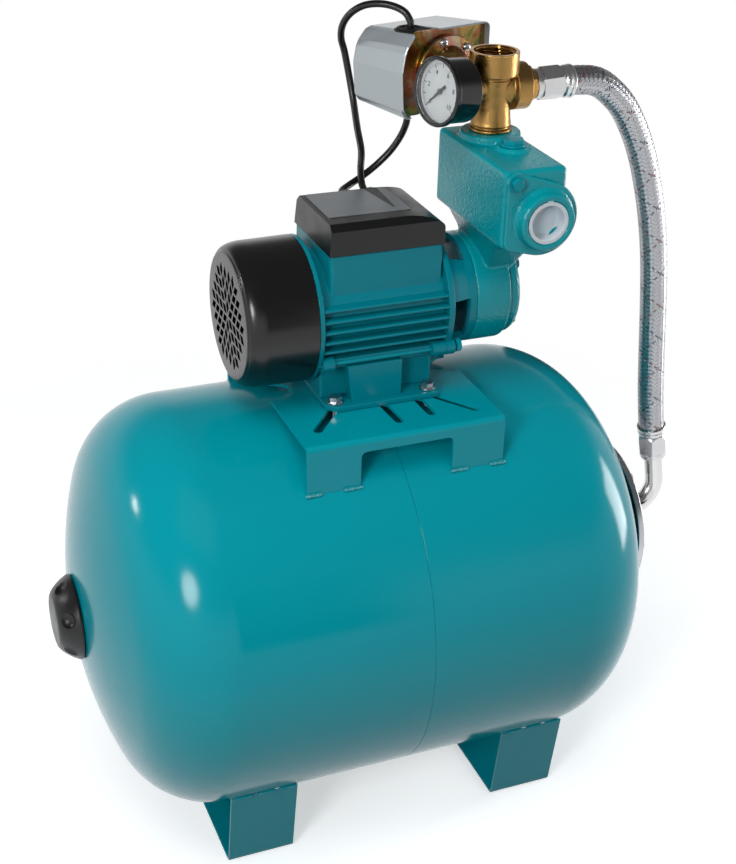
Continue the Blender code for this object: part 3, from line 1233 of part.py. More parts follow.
def gauge_stem():
    """The threaded brass stem, with its hexagon and the block that carries the pressure tube."""
    low = SMALL_PORT_REACH - 5
    stem = revolve([(low, 0), (low, SMALL_PORT_BORE - 2 * GAP), (GAUGE_BACK + 3, SMALL_PORT_BORE - 2 * GAP),
                    (GAUGE_BACK + 3, 0)], TINY, gauge_axis)
    head = hex_head(8.0, SMALL_PORT_REACH + GAP, GAUGE_BACK - GAP, gauge_axis)
    block = prism([(-BOURDON_RADIUS - 3, -4), (3, -4), (3, 4), (-BOURDON_RADIUS - 3, 4)],
                  GAUGE_BACK + 2 + GAP, GAUGE_BACK + 6, gauge_axis)
    finish("gauge_stem", join(stem, head, block), "brass")


def gauge_case():
    wall = 1.4
    front = GAUGE_FRONT - 1.0
    profile = [(GAUGE_BACK, SMALL_PORT_BORE), (GAUGE_BACK, GAUGE_RADIUS - 2), (GAUGE_BACK + 2, GAUGE_RADIUS),
               (front, GAUGE_RADIUS), (front, GAUGE_RADIUS - wall), (GAUGE_BACK + wall + 0.4, GAUGE_RADIUS - wall),
               (GAUGE_BACK + wall + 0.4, SMALL_PORT_BORE)]
    finish("gauge_case", revolve(profile, MEDIUM, gauge_axis, True), "black_paint")


def gauge_bezel():
    low = GAUGE_FRONT - BEZEL_DEPTH
    inner = GAUGE_RADIUS + GAP
    profile = [(low, inner), (low, BEZEL_RADIUS - 0.4), (low + 0.4, BEZEL_RADIUS), (GAUGE_FRONT - 1, BEZEL_RADIUS),
               (GAUGE_FRONT, BEZEL_RADIUS - 1.2), (GAUGE_FRONT, DIAL_RADIUS - 2.4),
               (GAUGE_FRONT - 0.7, DIAL_RADIUS - 2.4), (GAUGE_FRONT - 0.7, inner)]
    finish("gauge_bezel", revolve(profile, MEDIUM, gauge_axis, True), "black_paint")


def gauge_dial():
    radius = GAUGE_RADIUS - 1.4 - GAP
    shape = ring(1.6, radius, GAUGE_DIAL - 1.0, GAUGE_DIAL, MEDIUM, gauge_axis)
    finish("gauge_dial", shape, "white_plastic")


def gauge_lens():
    radius = GAUGE_RADIUS - 1.4 - GAP
    finish("gauge_lens", rod(radius, GAUGE_FRONT - 2.4, GAUGE_FRONT - 1.0, MEDIUM, gauge_axis), "glass")


def gauge_needle():
    """Pointer, boss and spindle, which turn together on the dial's axis."""
    turn = gauge_axis @ Matrix.Rotation(radians(NEEDLE_TURN), 4, "Z")
    low = GAUGE_DIAL + 0.6
    pointer = prism([(-8, -1.3), (3, -1.3), (DIAL_RADIUS - 6, -0.25), (DIAL_RADIUS - 6, 0.25), (3, 1.3), (-8, 1.3)],
                    low, low + 0.6, turn)
    boss = rod(2.4, low - 0.2, low + 1.2, TINY, gauge_axis)
    spindle = rod(0.9, GAUGE_DIAL - 9, low + 0.5, 8, gauge_axis)
    finish("gauge_needle", join(pointer, boss, spindle), "black_plastic", tuple(gauge_centre))


# Pressure switch. Its local X runs up, local Y to the right and local Z back from the fitting.

def switch_outline(shrink=0.0):
    """The cover's outline as (up, right), sloped at the upper left and tucked in at the lower left."""
    bottom = -SWITCH_BELOW + shrink
    top = bottom + SWITCH_HEIGHT - 2 * shrink
    left = -SWITCH_BEHIND + shrink
    right = left + SWITCH_WIDTH - 2 * shrink
    return [(bottom, right - 5), (bottom + 1.5, right - 1.5), (bottom + 5, right), (top - 5, right),
            (top - 1.5, right - 1.5), (top, right - 5), (top, left + 19), (top - 4, left + 15),
            (top - 25, left + 1), (top - 32, left), (bottom + 8, left + 3), (bottom + 2, left + 6),
            (bottom, left + 10)]


def outline_box(shape_low, shape_high, shrink=0.0):
    return prism(switch_outline(shrink), shape_low, shape_high, switch_axis)


GROMMET_SIDE = -SWITCH_BEHIND + GROMMET_ACROSS
GROMMET_BACK = SWITCH_PLATE + GROMMET_BEHIND
SWITCH_TOP = SWITCH_HEIGHT - SWITCH_BELOW


def switch_frame():
    """The base plate with an ear bent back at the top and the bottom, each with a cable hole."""
    shrink = SWITCH_COVER_WALL + GAP
    sheet = SWITCH_SHEET
    plate = outline_box(SWITCH_PLATE, SWITCH_PLATE + sheet, shrink)
    ears = []
    holes = []
    for low, high in ((-SWITCH_BELOW + shrink, -SWITCH_BELOW + shrink + sheet),
                      (SWITCH_TOP - shrink - sheet, SWITCH_TOP - shrink)):
        left = -SWITCH_BEHIND + (21 if high > 0 else 12)
        right = -SWITCH_BEHIND + 62
        outline = [(low, left), (high, left), (high, right), (low, right)]
        ears.append(prism(outline, SWITCH_PLATE + 0.5, SWITCH_PLATE + 34, switch_axis))
        hole_axis = frame_on(switch_axis @ Vector((low - 5, GROMMET_SIDE, GROMMET_BACK + 4)), Z_AXIS, X_AXIS)
        holes.append(rod(GROMMET_NECK + GAP, 0, 15, SMALL, hole_axis))
    shape = join(plate, *ears)
    stem = rod(4.3 + GAP, SWITCH_PLATE - 5, SWITCH_PLATE + 10, TINY, switch_axis)
    finish("switch_frame", cut(shape, stem, *holes), "gold_zinc")


def switch_cover():
    """The formed cover that slides over the frame from behind, open to the front."""
    low = SWITCH_PLATE - 0.5
    high = SWITCH_PLATE + SWITCH_DEPTH
    outer = rounded(outline_box(low, high), 2.0, 2, 60)
    inner = outline_box(low - 5, high - SWITCH_COVER_WALL, SWITCH_COVER_WALL)
    notches = []
    for z in (-SWITCH_BELOW - 5, SWITCH_TOP - 8):
        left = GROMMET_SIDE - GROMMET_RADIUS - GAP
        right = GROMMET_SIDE + GROMMET_RADIUS + GAP
        outline = [(z, left), (z + 13, left), (z + 13, right), (z, right)]
        notches.append(prism(outline, low - 5, GROMMET_BACK + 4 + GROMMET_RADIUS + GAP, switch_axis))
    finish("switch_cover", cut(outer, inner, *notches), "grey_plastic")


def grommet(height, upward):
    """A rubber cable grommet in one of the frame's ears: (height is the ear's outer face)."""
    centre = switch_axis @ Vector((height, GROMMET_SIDE, GROMMET_BACK + 4))
    axis = frame_on(centre, Z_AXIS * upward, X_AXIS)
    sheet = SWITCH_SHEET
    hole = CABLE_RADIUS - 1
    profile = [(GAP, hole), (GAP, GROMMET_RADIUS), (GROMMET_RISE - 1, GROMMET_RADIUS - 0.6),
               (GROMMET_RISE, GROMMET_RADIUS - 2), (GROMMET_RISE, hole)]
    flange = revolve(profile, SMALL, axis, True)
    neck = ring(hole, GROMMET_NECK, -sheet - 3, 1.5, SMALL, axis)
    inner_rim = revolve([(-sheet - 3, hole), (-sheet - 3, GROMMET_NECK), (-sheet - 2.6, GROMMET_NECK + 1.5),
                         (-sheet - GAP, GROMMET_NECK + 1.5), (-sheet - GAP, hole)], SMALL, axis, True)
    return join(flange, neck, inner_rim)


def switch_grommets():
    shrink = SWITCH_COVER_WALL + GAP
    finish("grommet_top", grommet(SWITCH_TOP - shrink, 1), "rubber")
    finish("grommet_bottom", grommet(-SWITCH_BELOW + shrink, -1), "rubber")


def pressure_flange():
    """The stepped steel housing that clamps the diaphragm to the base plate."""
    end = SWITCH_PLATE - GAP
    neck = SMALL_PORT_REACH + GAP
    inside = SMALL_PORT_BORE - 2 * GAP
    profile = [(neck - 6, 2), (neck - 6, inside), (neck + 1, inside), (neck + 1, 7.5), (end - 20, 7.5),
               (end - 19, 15), (end - 15, 18), (end - 10, 20), (end - 7, SWITCH_FLANGE - 4),
               (end - 4, SWITCH_FLANGE), (end, SWITCH_FLANGE), (end, 2)]
    shape = revolve(profile, MEDIUM, switch_axis, True)
    head = cut(hex_head(SWITCH_NUT, neck, neck + 8, switch_axis), rod(5, neck - 5, neck + 15, TINY, switch_axis))
    finish("pressure_flange", join(shape, head), "gold_zinc")


def contact_block():
    """The moulded block of contacts and terminal screws on the base plate."""
    low = SWITCH_PLATE + SWITCH_SHEET + GAP
    outline = [(-28, -22), (-12, -22), (-12, 26), (-28, 26)]
    block = prism(outline, low, low + 22, switch_axis)
    wells = [rod(2.6, low + 16, low + 26, TINY, switch_axis @ Matrix.Translation((-20, y, 0))) for y in (-15, -4, 8, 19)]
    finish("contact_block", cut(block, *wells), "black_plastic")


# Elbow and hose

ELBOW_TURN = radians(ELBOW_SWEEP)
ELBOW_END = Vector((ELBOW_START + ELBOW_RADIUS * sin(ELBOW_TURN), 0, ELBOW_RADIUS * (1 - cos(ELBOW_TURN))))
ELBOW_WAY = Vector((cos(ELBOW_TURN), 0, sin(ELBOW_TURN)))


def elbow_pipe():
    """The plated pipe that leaves the tank flange and turns up to the hose."""
    points = [(FLANGE_START + 2, 0, 0), (ELBOW_START - 8, 0, 0)]
    steps = 8
    for k in range(steps + 1):
        angle = ELBOW_TURN * k / steps
        points.append((ELBOW_START + ELBOW_RADIUS * sin(angle), 0, ELBOW_RADIUS * (1 - cos(angle))))
    points.append(tuple(ELBOW_END + ELBOW_WAY * ELBOW_TAIL))
    finish("elbow_pipe", sweep(points, ELBOW_TUBE, 12, ELBOW_BORE), "chrome")


def elbow_nut():
    low = FLANGE_START + FLANGE_THICK + FLANGE_HUB_LENGTH + GAP
    shape = rounded(hex_head(16.5, low, low + 12, tank_axis), 0.8, 1)
    bore = rod(ELBOW_TUBE + GAP, low - 5, low + 20, SMALL, tank_axis)
    finish("elbow_nut", cut(shape, bore), "zinc")


def ferrule(name, base, way):
    """A crimped hose end: round collar at the fitting, hexagon, and round sleeve at the braid."""
    axis = frame_on(base, way)
    length = FERRULE_LENGTH
    collar = revolve([(0, 0), (0, FERRULE_COLLAR - 1), (1, FERRULE_COLLAR), (5, FERRULE_COLLAR), (6, FERRULE_RADIUS - 2),
                      (length - 8, FERRULE_RADIUS - 1.5), (length - 6, FERRULE_RADIUS - 0.4),
                      (length, FERRULE_RADIUS + 0.4), (length, 0)], MEDIUM, axis)
    hexagon_part = rounded(hex_head(FERRULE_RADIUS + 0.8, 5.5, length - 9, axis), 0.8, 1)
    shape = join(collar, hexagon_part)
    finish(name, shape, "zinc")


LOWER_BASE = ELBOW_END + ELBOW_WAY * (ELBOW_TAIL + GAP)
LOWER_TOP = LOWER_BASE + ELBOW_WAY * (FERRULE_LENGTH + GAP)
UPPER_BASE = Vector((NIPPLE_END, 0, SIDE_PORT_Z))
UPPER_TOP = UPPER_BASE + X_AXIS * (FERRULE_LENGTH + GAP)

# The hose's route between its two ferrules, in millimetres
HOSE_ROUTE = [tuple(UPPER_TOP), tuple(UPPER_TOP + X_AXIS * 6), (206, 0, 427), (221, 0, 418), (239, 0, 399), (259, 0, 363), (275, 0, 316),
              (285.5, 0, 268), (291, 0, 219), (295, 0, 168), (299, 0, 122), tuple(LOWER_TOP + ELBOW_WAY * 6), tuple(LOWER_TOP)]

# The two switch cables, from the grommets to the terminal box
EAR_INSET = SWITCH_COVER_WALL + GAP
CABLE_EXIT = GROMMET_RISE + GAP
TOP_EXIT = switch_axis @ Vector((SWITCH_TOP - EAR_INSET + CABLE_EXIT, GROMMET_SIDE, GROMMET_BACK + 4))
BOTTOM_EXIT = switch_axis @ Vector((-SWITCH_BELOW + EAR_INSET - CABLE_EXIT, GROMMET_SIDE, GROMMET_BACK + 4))
GLAND_END = BASE_HALF + GLAND_LENGTH + GAP
GLAND_Z = SHAFT_Z + GLAND_RISE
CABLE_A_ROUTE = [tuple(TOP_EXIT), tuple(TOP_EXIT + Z_AXIS * 4), (66.5, 75, 476.5), (59, 82, 479.5), (49, 90, 480), (39, 99, 477), (31, 108, 469),
                 (28, 114, 458), (32, 118, 446), (39, 119.5, 434), (45, 117, 414), (46, 109, 393),
                 (41, 98, 373), (36, 89, 357), (33, 82, 343), (31, 73.5, 332.5),
                 (GLAND_RIGHT_X, GLAND_END + 4, GLAND_Z), (GLAND_RIGHT_X, GLAND_END, GLAND_Z)]
CABLE_B_ROUTE = [tuple(BOTTOM_EXIT), tuple(BOTTOM_EXIT - Z_AXIS * 4), (69.8, 73.2, 381), (67, 77, 370), (60, 81, 357), (49, 84, 345), (36, 84, 336),
                 (22, 79, 331), (12, 71, 329.5),
                 (GLAND_LEFT_X, GLAND_END + 4, GLAND_Z), (GLAND_LEFT_X, GLAND_END, GLAND_Z)]


def cord(name, route, radius, spacing, finish_name, resolution=2):
    """A plain round tube along a smooth curve through the route's points."""
    path = [Vector(p) for p in route[1:-1]]
    padded = [Vector(route[0])] + path + [Vector(route[-1])]
    dense = []
    for k in range(1, len(padded) - 2):
        p0, p1, p2, p3 = padded[k - 1:k + 3]
        for n in range(12):
            t = n / 12
            dense.append(0.5 * (2 * p1 + (p2 - p0) * t + (2 * p0 - 5 * p1 + 4 * p2 - p3) * t * t
                                + (3 * p1 - p0 - 3 * p2 + p3) * t ** 3))
    dense.append(path[-1])
    travelled = [0.0]
    for a, b in zip(dense, dense[1:]):
        travelled.append(travelled[-1] + (b - a).length)
    count = max(3, round(travelled[-1] / spacing))
    chosen = [Vector(route[0])]
    row = 0
    for k in range(count + 1):
        wanted = travelled[-1] * k / count
        while row < len(dense) - 2 and travelled[row + 1] < wanted:
            row += 1
        span = travelled[row + 1] - travelled[row]
        share = (wanted - travelled[row]) / span if span else 0
        chosen.append(dense[row].lerp(dense[row + 1], share))
    chosen.append(Vector(route[-1]))
    curve = bpy.data.curves.new(name, "CURVE")
    curve.dimensions = "3D"
    curve.bevel_depth = radius * MM
    curve.bevel_resolution = resolution
    curve.render_resolution_u = 0
    curve.use_fill_caps = True
    spline = curve.splines.new("POLY")
    spline.points.add(len(chosen) - 1)
    for target, point in zip(spline.points, chosen):
        target.co = (*(point * MM), 1)
    curve.materials.append(materials[finish_name])
    made = bpy.data.objects.new(name, curve)
    bpy.context.scene.collection.objects.link(made)
    made.location = -ORIGIN * MM


tank_shell_left()
tank_shell_right()
tank_membrane()
tank_flange()
foot("foot_left", LEFT_FOOT_X)
foot("foot_right", RIGHT_FOOT_X)
air_valve()
air_valve_cap()
motor_platform()
foot_bolts()
motor_housing()
stator_core()
stator_windings()
rotor_shaft()
rotor_core()
bearing("rear_bearing", REAR_BEARING)
bearing("front_bearing", FRONT_BEARING)
rear_end_shield()
tie_bolts()
cooling_fan()
fan_cover()
terminal_lid()
run_capacitor()
cable_glands()
pump_lantern()
slinger_ring()
impeller()
pump_casing()
suction_flange()
suction_bolts()
suction_plug()
check_flap()
priming_plug()
pump_cover()
five_way_fitting()
hose_nipple()
gauge_stem()
gauge_case()
gauge_bezel()
gauge_dial()
gauge_lens()
gauge_needle()
switch_frame()
switch_cover()
switch_grommets()
pressure_flange()
contact_block()
elbow_pipe()
elbow_nut()
ferrule("hose_ferrule_lower", LOWER_BASE, ELBOW_WAY)
ferrule("hose_ferrule_upper", UPPER_BASE, X_AXIS)
cord("braided_hose", HOSE_ROUTE, HOSE_RADIUS, 40, "braid", 3)
cord("switch_cable_top", CABLE_A_ROUTE, CABLE_RADIUS, 12, "rubber")
cord("switch_cable_bottom", CABLE_B_ROUTE, CABLE_RADIUS, 12, "rubber")
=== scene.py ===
# %% [markdown]
# # A booster pump set
#
# A small self-priming pump stands on a platform that is welded to a horizontal pressure tank.
# The motor turns a peripheral impeller, and water leaves through a five-way brass fitting, which
# also carries a gauge, a pressure switch and the hose to the tank. The tank holds air round a
# rubber bag, so that the pump doesn't start each time a tap is opened.
#
# This notebook dresses the plain solids of the set. Shapes are drawn in millimetres from the
# middle of the tank, because every measure was read there, and each finished mesh is then moved
# to metres in the set's own frame. Nothing is turned or scaled afterwards, so the texture
# coordinates of all pieces agree.

from math import asin, atan2, cos, degrees, pi, radians, sin, sqrt, tan

import bmesh
import bpy
from mathutils import Matrix, Vector

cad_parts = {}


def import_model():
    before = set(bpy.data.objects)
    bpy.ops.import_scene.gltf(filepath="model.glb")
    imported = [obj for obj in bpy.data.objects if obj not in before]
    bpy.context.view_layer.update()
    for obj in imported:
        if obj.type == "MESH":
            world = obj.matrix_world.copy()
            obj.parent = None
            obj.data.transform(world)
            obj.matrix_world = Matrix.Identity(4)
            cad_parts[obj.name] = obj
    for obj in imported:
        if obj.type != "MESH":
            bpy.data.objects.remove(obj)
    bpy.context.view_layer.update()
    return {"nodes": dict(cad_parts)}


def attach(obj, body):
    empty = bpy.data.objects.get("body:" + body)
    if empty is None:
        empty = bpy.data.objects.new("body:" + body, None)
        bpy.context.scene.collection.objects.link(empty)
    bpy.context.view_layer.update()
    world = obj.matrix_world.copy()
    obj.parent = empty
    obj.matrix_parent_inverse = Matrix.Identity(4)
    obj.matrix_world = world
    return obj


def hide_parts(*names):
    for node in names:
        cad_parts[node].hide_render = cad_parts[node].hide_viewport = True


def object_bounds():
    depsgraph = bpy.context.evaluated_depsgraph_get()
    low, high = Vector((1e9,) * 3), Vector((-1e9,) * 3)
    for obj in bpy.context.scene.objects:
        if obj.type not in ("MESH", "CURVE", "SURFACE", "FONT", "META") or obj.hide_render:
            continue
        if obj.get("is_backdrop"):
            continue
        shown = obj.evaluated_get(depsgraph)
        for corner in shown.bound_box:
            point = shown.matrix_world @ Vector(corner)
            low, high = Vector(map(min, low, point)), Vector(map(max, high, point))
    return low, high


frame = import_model()
ROOT = "pump_set"
ROTOR = "rotor"
MM = 0.001
MIDDLE_X = 25.15
AXIS_HEIGHT = 215.0
TO_ROW = Matrix.Scale(MM, 4) @ Matrix.Translation((-MIDDLE_X, 0, AXIS_HEIGHT))
X_AXIS, Y_AXIS, Z_AXIS = Vector((1, 0, 0)), Vector((0, 1, 0)), Vector((0, 0, 1))


# %% [markdown]
# ## The camera
#
# The photograph fixes the view: straight edges of the platform and the circles of tank, gauge and
# fan cover were matched to it, which gives the place, the direction and the focal length
# together. The camera comes first, because everything else is judged through it.

# %% Camera
def add_camera():
    data = bpy.data.cameras.new("camera")
    data.sensor_fit = "VERTICAL"
    data.sensor_height = 36.0
    data.lens = 63.49
    data.clip_end = 20
    camera = bpy.data.objects.new("camera", data)
    right = Vector((0.929181, -0.368891, 0.023279))
    up = Vector((0.155158, 0.446433, 0.881263))
    back = Vector((-0.335482, -0.815241, 0.472053))
    place = Matrix((right, up, back)).transposed().to_4x4()
    place.translation = TO_ROW @ Vector((-434.265, -1085.708, 760.845))
    camera.matrix_world = place
    bpy.context.scene.collection.objects.link(camera)
    bpy.context.scene.camera = camera
    camera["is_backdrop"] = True
    return camera


camera = add_camera()
print("camera at", [round(v, 3) for v in camera.location])


# %% [markdown]
# ## Finishes
#
# One function makes every finish. A finish is a Principled shader whose colour and roughness
# drift a little with noise, and whose surface has one or two layers of bump: paint has the slight
# waviness of orange peel, castings show sand grain, brushed metal has its noise stretched along
# one direction. All noise reads object coordinates, so it stays with the piece.

# %% Finishes
def linear(colour):
    """Linear values of an sRGB colour given as 0 to 255."""
    return [((c / 255 + 0.055) / 1.055) ** 2.4 if c > 10 else c / 255 / 12.92 for c in colour]


def finish(name, colour, roughness, metallic=0.0, grain=(), drift=0.04, vary=0.06,
           stretch=(1, 1, 1), coat=0.0, **more):
    """grain is a list of (noise scale per metre, height in metres, strength)."""
    made = bpy.data.materials.new(name)
    made.use_nodes = True
    nodes = made.node_tree.nodes
    links = made.node_tree.links
    shader = nodes["Principled BSDF"]
    shader.inputs["Metallic"].default_value = metallic
    shader.inputs["Coat Weight"].default_value = coat
    shader.inputs["Coat Roughness"].default_value = 0.06
    for socket, value in more.items():
        shader.inputs[socket.replace("_", " ")].default_value = value
    place = nodes.new("ShaderNodeTexCoord")
    mapping = nodes.new("ShaderNodeMapping")
    mapping.inputs["Scale"].default_value = stretch
    links.new(place.outputs["Object"], mapping.inputs["Vector"])

    def noise_at(scale, detail=3.0):
        node = nodes.new("ShaderNodeTexNoise")
        node.inputs["Scale"].default_value = scale
        node.inputs["Detail"].default_value = detail
        links.new(mapping.outputs["Vector"], node.inputs["Vector"])
        return node

    def ranged(source, low, high):
        node = nodes.new("ShaderNodeMapRange")
        node.inputs["From Min"].default_value = 0.3
        node.inputs["From Max"].default_value = 0.7
        node.inputs["To Min"].default_value = low
        node.inputs["To Max"].default_value = high
        links.new(source.outputs["Fac"], node.inputs["Value"])
        return node

    base = linear(colour)
    tint = nodes.new("ShaderNodeMix")
    tint.data_type = "RGBA"
    tint.inputs["A"].default_value = (*[c * (1 - drift) for c in base], 1)
    tint.inputs["B"].default_value = (*[min(1, c * (1 + drift)) for c in base], 1)
    broad = noise_at(18.0)
    links.new(broad.outputs["Fac"], tint.inputs["Factor"])
    links.new(tint.outputs["Result"], shader.inputs["Base Color"])
    rough = ranged(noise_at(60.0), roughness * (1 - vary), roughness * (1 + vary))
    links.new(rough.outputs["Result"], shader.inputs["Roughness"])
    before = None
    for scale, height, strength in grain:
        bump = nodes.new("ShaderNodeBump")
        bump.inputs["Strength"].default_value = strength
        bump.inputs["Distance"].default_value = height
        links.new(noise_at(scale, 2.0).outputs["Fac"], bump.inputs["Height"])
        if before:
            links.new(before.outputs["Normal"], bump.inputs["Normal"])
        before = bump
    if before:
        links.new(before.outputs["Normal"], shader.inputs["Normal"])
    made["tint"] = tint.name
    return made


TEAL = (0, 149, 163)
paint = finish("gloss_teal", TEAL, 0.15, grain=[(700, 0.0001, 0.03), (60, 0.0006, 0.02)],
               drift=0.02, Specular_IOR_Level=0.2)
sheet_paint = finish("sheet_teal", (0, 138, 152), 0.22, grain=[(500, 0.0002, 0.10)],
                     Specular_IOR_Level=0.2)
cast_paint = finish("cast_teal", (0, 148, 158), 0.15,
                    grain=[(380, 0.0008, 0.7), (1400, 0.0002, 0.35)], drift=0.08, vary=0.2,
                    Specular_IOR_Level=0.3)
fine_cast_paint = finish("fine_cast_teal", (0, 124, 138), 0.24, grain=[(600, 0.0003, 0.25)],
                         Specular_IOR_Level=0.22)
black_enamel = finish("black_enamel", (13, 13, 14), 0.25, grain=[(600, 0.0002, 0.12)],
                      Specular_IOR_Level=0.5)
black_plastic = finish("black_plastic", (14, 14, 15), 0.34, grain=[(1500, 0.0001, 0.25)], vary=0.15,
                       Specular_IOR_Level=0.45)
gauge_black = finish("gauge_black", (9, 9, 10), 0.12, grain=[(200, 0.0001, 0.03)])
rubber = finish("black_rubber", (15, 15, 15), 0.62, grain=[(1800, 0.0001, 0.3)],
                Specular_IOR_Level=0.35)
cable_jacket = finish("cable_jacket", (10, 10, 10), 0.30, grain=[(900, 0.0001, 0.2)])
switch_grey = finish("switch_grey", (172, 180, 184), 0.24, 0.5,
                     grain=[(500, 0.0001, 0.06)], drift=0.03)
brass = finish("cast_brass", (158, 124, 72), 0.33, 1.0,
               grain=[(700, 0.0004, 0.4), (2200, 0.0001, 0.3)], drift=0.18, vary=0.25)
turned_brass = finish("turned_brass", (184, 142, 82), 0.22, 1.0, grain=[(900, 0.0001, 0.15)],
                      drift=0.1, vary=0.3)
chrome = finish("chrome", (214, 212, 210), 0.06, 1.0, grain=[(90, 0.0003, 0.03)], drift=0.02)
nickel = finish("nickel", (206, 206, 207), 0.27, 1.0, grain=[(500, 0.0002, 0.12)],
                drift=0.06, vary=0.3)
zinc = finish("zinc", (188, 190, 194), 0.27, 1.0, grain=[(800, 0.0001, 0.2)], drift=0.08, vary=0.3)
steel = finish("plain_steel", (150, 150, 152), 0.36, 1.0, grain=[(900, 0.0001, 0.2)],
               stretch=(1, 8, 8))
copper = finish("enamelled_copper", (176, 100, 60), 0.35, 1.0, grain=[(900, 0.0003, 0.5)],
                stretch=(0.3, 3, 3))
plate_silver = finish("plate_silver", (150, 154, 158), 0.36, 0.85, grain=[(1200, 0.00005, 0.2)],
                      stretch=(0.1, 3, 1))
dial_white = finish("dial_white", (226, 230, 232), 0.5, grain=[(900, 0.00005, 0.1)])
print_black = finish("print_black", (12, 12, 14), 0.55)
needle_black = finish("needle_black", (8, 8, 8), 0.3)
milky = finish("milky_plastic", (208, 216, 222), 0.34, grain=[(400, 0.0001, 0.1)],
               Subsurface_Weight=0.25, Subsurface_Scale=0.004)
weld_metal = finish("weld_metal", (40, 150, 160), 0.22, 0.2, grain=[(1500, 0.0003, 0.6)], coat=0.6)
glass = finish("gauge_glass", (250, 252, 252), 0.03, grain=[], Transmission_Weight=1.0, IOR=1.45)


def passivated_finish():
    """Yellow passivated zinc, whose film changes from olive over brown to rose with its thickness."""
    made = finish("gold_zinc", (176, 146, 92), 0.25, 1.0, grain=[(300, 0.0001, 0.06)], vary=0.3)
    nodes = made.node_tree.nodes
    links = made.node_tree.links
    film = nodes.new("ShaderNodeTexNoise")
    film.inputs["Scale"].default_value = 34.0
    film.inputs["Detail"].default_value = 4.0
    film.inputs["Distortion"].default_value = 1.2
    links.new(nodes["Mapping"].outputs["Vector"], film.inputs["Vector"])
    ramp = nodes.new("ShaderNodeValToRGB")
    stops = ramp.color_ramp.elements
    stops[0].position, stops[0].color = 0.36, (*linear((118, 122, 70)), 1)
    stops[1].position, stops[1].color = 0.66, (*linear((168, 150, 120)), 1)
    for position, colour in ((0.45, (176, 144, 84)), (0.53, (160, 112, 66)),
                             (0.60, (170, 112, 104))):
        stops.new(position).color = (*linear(colour), 1)
    links.new(film.outputs["Fac"], ramp.inputs["Fac"])
    links.new(ramp.outputs["Color"], nodes["Principled BSDF"].inputs["Base Color"])
    return made


gold = passivated_finish()


def braid_finish():
    """Steel wire whose tracer threads are picked by the strand number stored on the mesh."""
    made = finish("steel_braid", (176, 177, 180), 0.27, 1.0, grain=[(2600, 0.0002, 0.6)],
                  drift=0.15, vary=0.3)
    nodes = made.node_tree.nodes
    links = made.node_tree.links
    shader = nodes["Principled BSDF"]
    strand = nodes.new("ShaderNodeAttribute")
    strand.attribute_name = "tracer"
    ramp = nodes.new("ShaderNodeValToRGB")
    ramp.color_ramp.interpolation = "CONSTANT"
    stops = ramp.color_ramp.elements
    stops[0].position, stops[0].color = 0.0, (*linear((196, 197, 200)), 1)
    stops[1].position, stops[1].color = 0.25, (*linear((126, 34, 40)), 1)
    for position, colour in ((0.5, (30, 52, 96)), (0.75, (26, 28, 30))):
        stop = stops.new(position)
        stop.color = (*linear(colour), 1)
    rib = nodes.new("ShaderNodeAttribute")
    rib.attribute_name = "rib"
    middle = nodes.new("ShaderNodeMath")
    middle.operation = "LESS_THAN"
    middle.inputs[1].default_value = 0.2
    links.new(rib.outputs["Fac"], middle.inputs[0])
    thread_here = nodes.new("ShaderNodeMath")
    thread_here.operation = "MULTIPLY"
    links.new(strand.outputs["Fac"], thread_here.inputs[0])
    links.new(middle.outputs["Value"], thread_here.inputs[1])
    links.new(thread_here.outputs["Value"], ramp.inputs["Fac"])
    blend = nodes.new("ShaderNodeMix")
    blend.data_type = "RGBA"
    blend.blend_type = "MULTIPLY"
    blend.inputs["Factor"].default_value = 0.35
    links.new(ramp.outputs["Color"], blend.inputs["A"])
    links.new(nodes[made["tint"]].outputs["Result"], blend.inputs["B"])
    links.new(blend.outputs["Result"], shader.inputs["Base Color"])
    plain = nodes.new("ShaderNodeMath")
    plain.operation = "LESS_THAN"
    plain.inputs[1].default_value = 0.2
    links.new(thread_here.outputs["Value"], plain.inputs[0])
    links.new(plain.outputs["Value"], shader.inputs["Metallic"])
    return made


braid = braid_finish()
print("finishes:", len(bpy.data.materials))


# %% [markdown]
# ## Shapes
#
# Turned pieces are profiles spun round an axis, sheet and cast pieces are outlines given a
# thickness, and castings are several such bodies joined. A real casting has no sharp inner
# corner, so joined castings are rebuilt on a fine grid and smoothed, which lays a small fillet
# along every edge. Turned and bent pieces keep crisp edges with a narrow bevel.

# %% Shape functions
def frame_on(origin, along, up=Z_AXIS):
    z = Vector(along).normalized()
    x = Vector(up) - z * z.dot(Vector(up))
    if x.length < 1e-6:
        x = X_AXIS - z * z.dot(X_AXIS)
    x.normalize()
    turn = Matrix((x, z.cross(x), z)).transposed().to_4x4()
    return Matrix.Translation(Vector(origin)) @ turn


def mesh_object(vertices, faces, matrix=None):
    mesh = bpy.data.meshes.new("shape")
    mesh.from_pydata([tuple(v) for v in vertices], [], faces)
    if matrix is not None:
        mesh.transform(matrix)
    bm = bmesh.new()
    bm.from_mesh(mesh)
    bmesh.ops.remove_doubles(bm, verts=bm.verts, dist=1e-4)
    bmesh.ops.recalc_face_normals(bm, faces=bm.faces)
    bm.to_mesh(mesh)
    bm.free()
    made = bpy.data.objects.new("shape", mesh)
    bpy.context.scene.collection.objects.link(made)
    return made


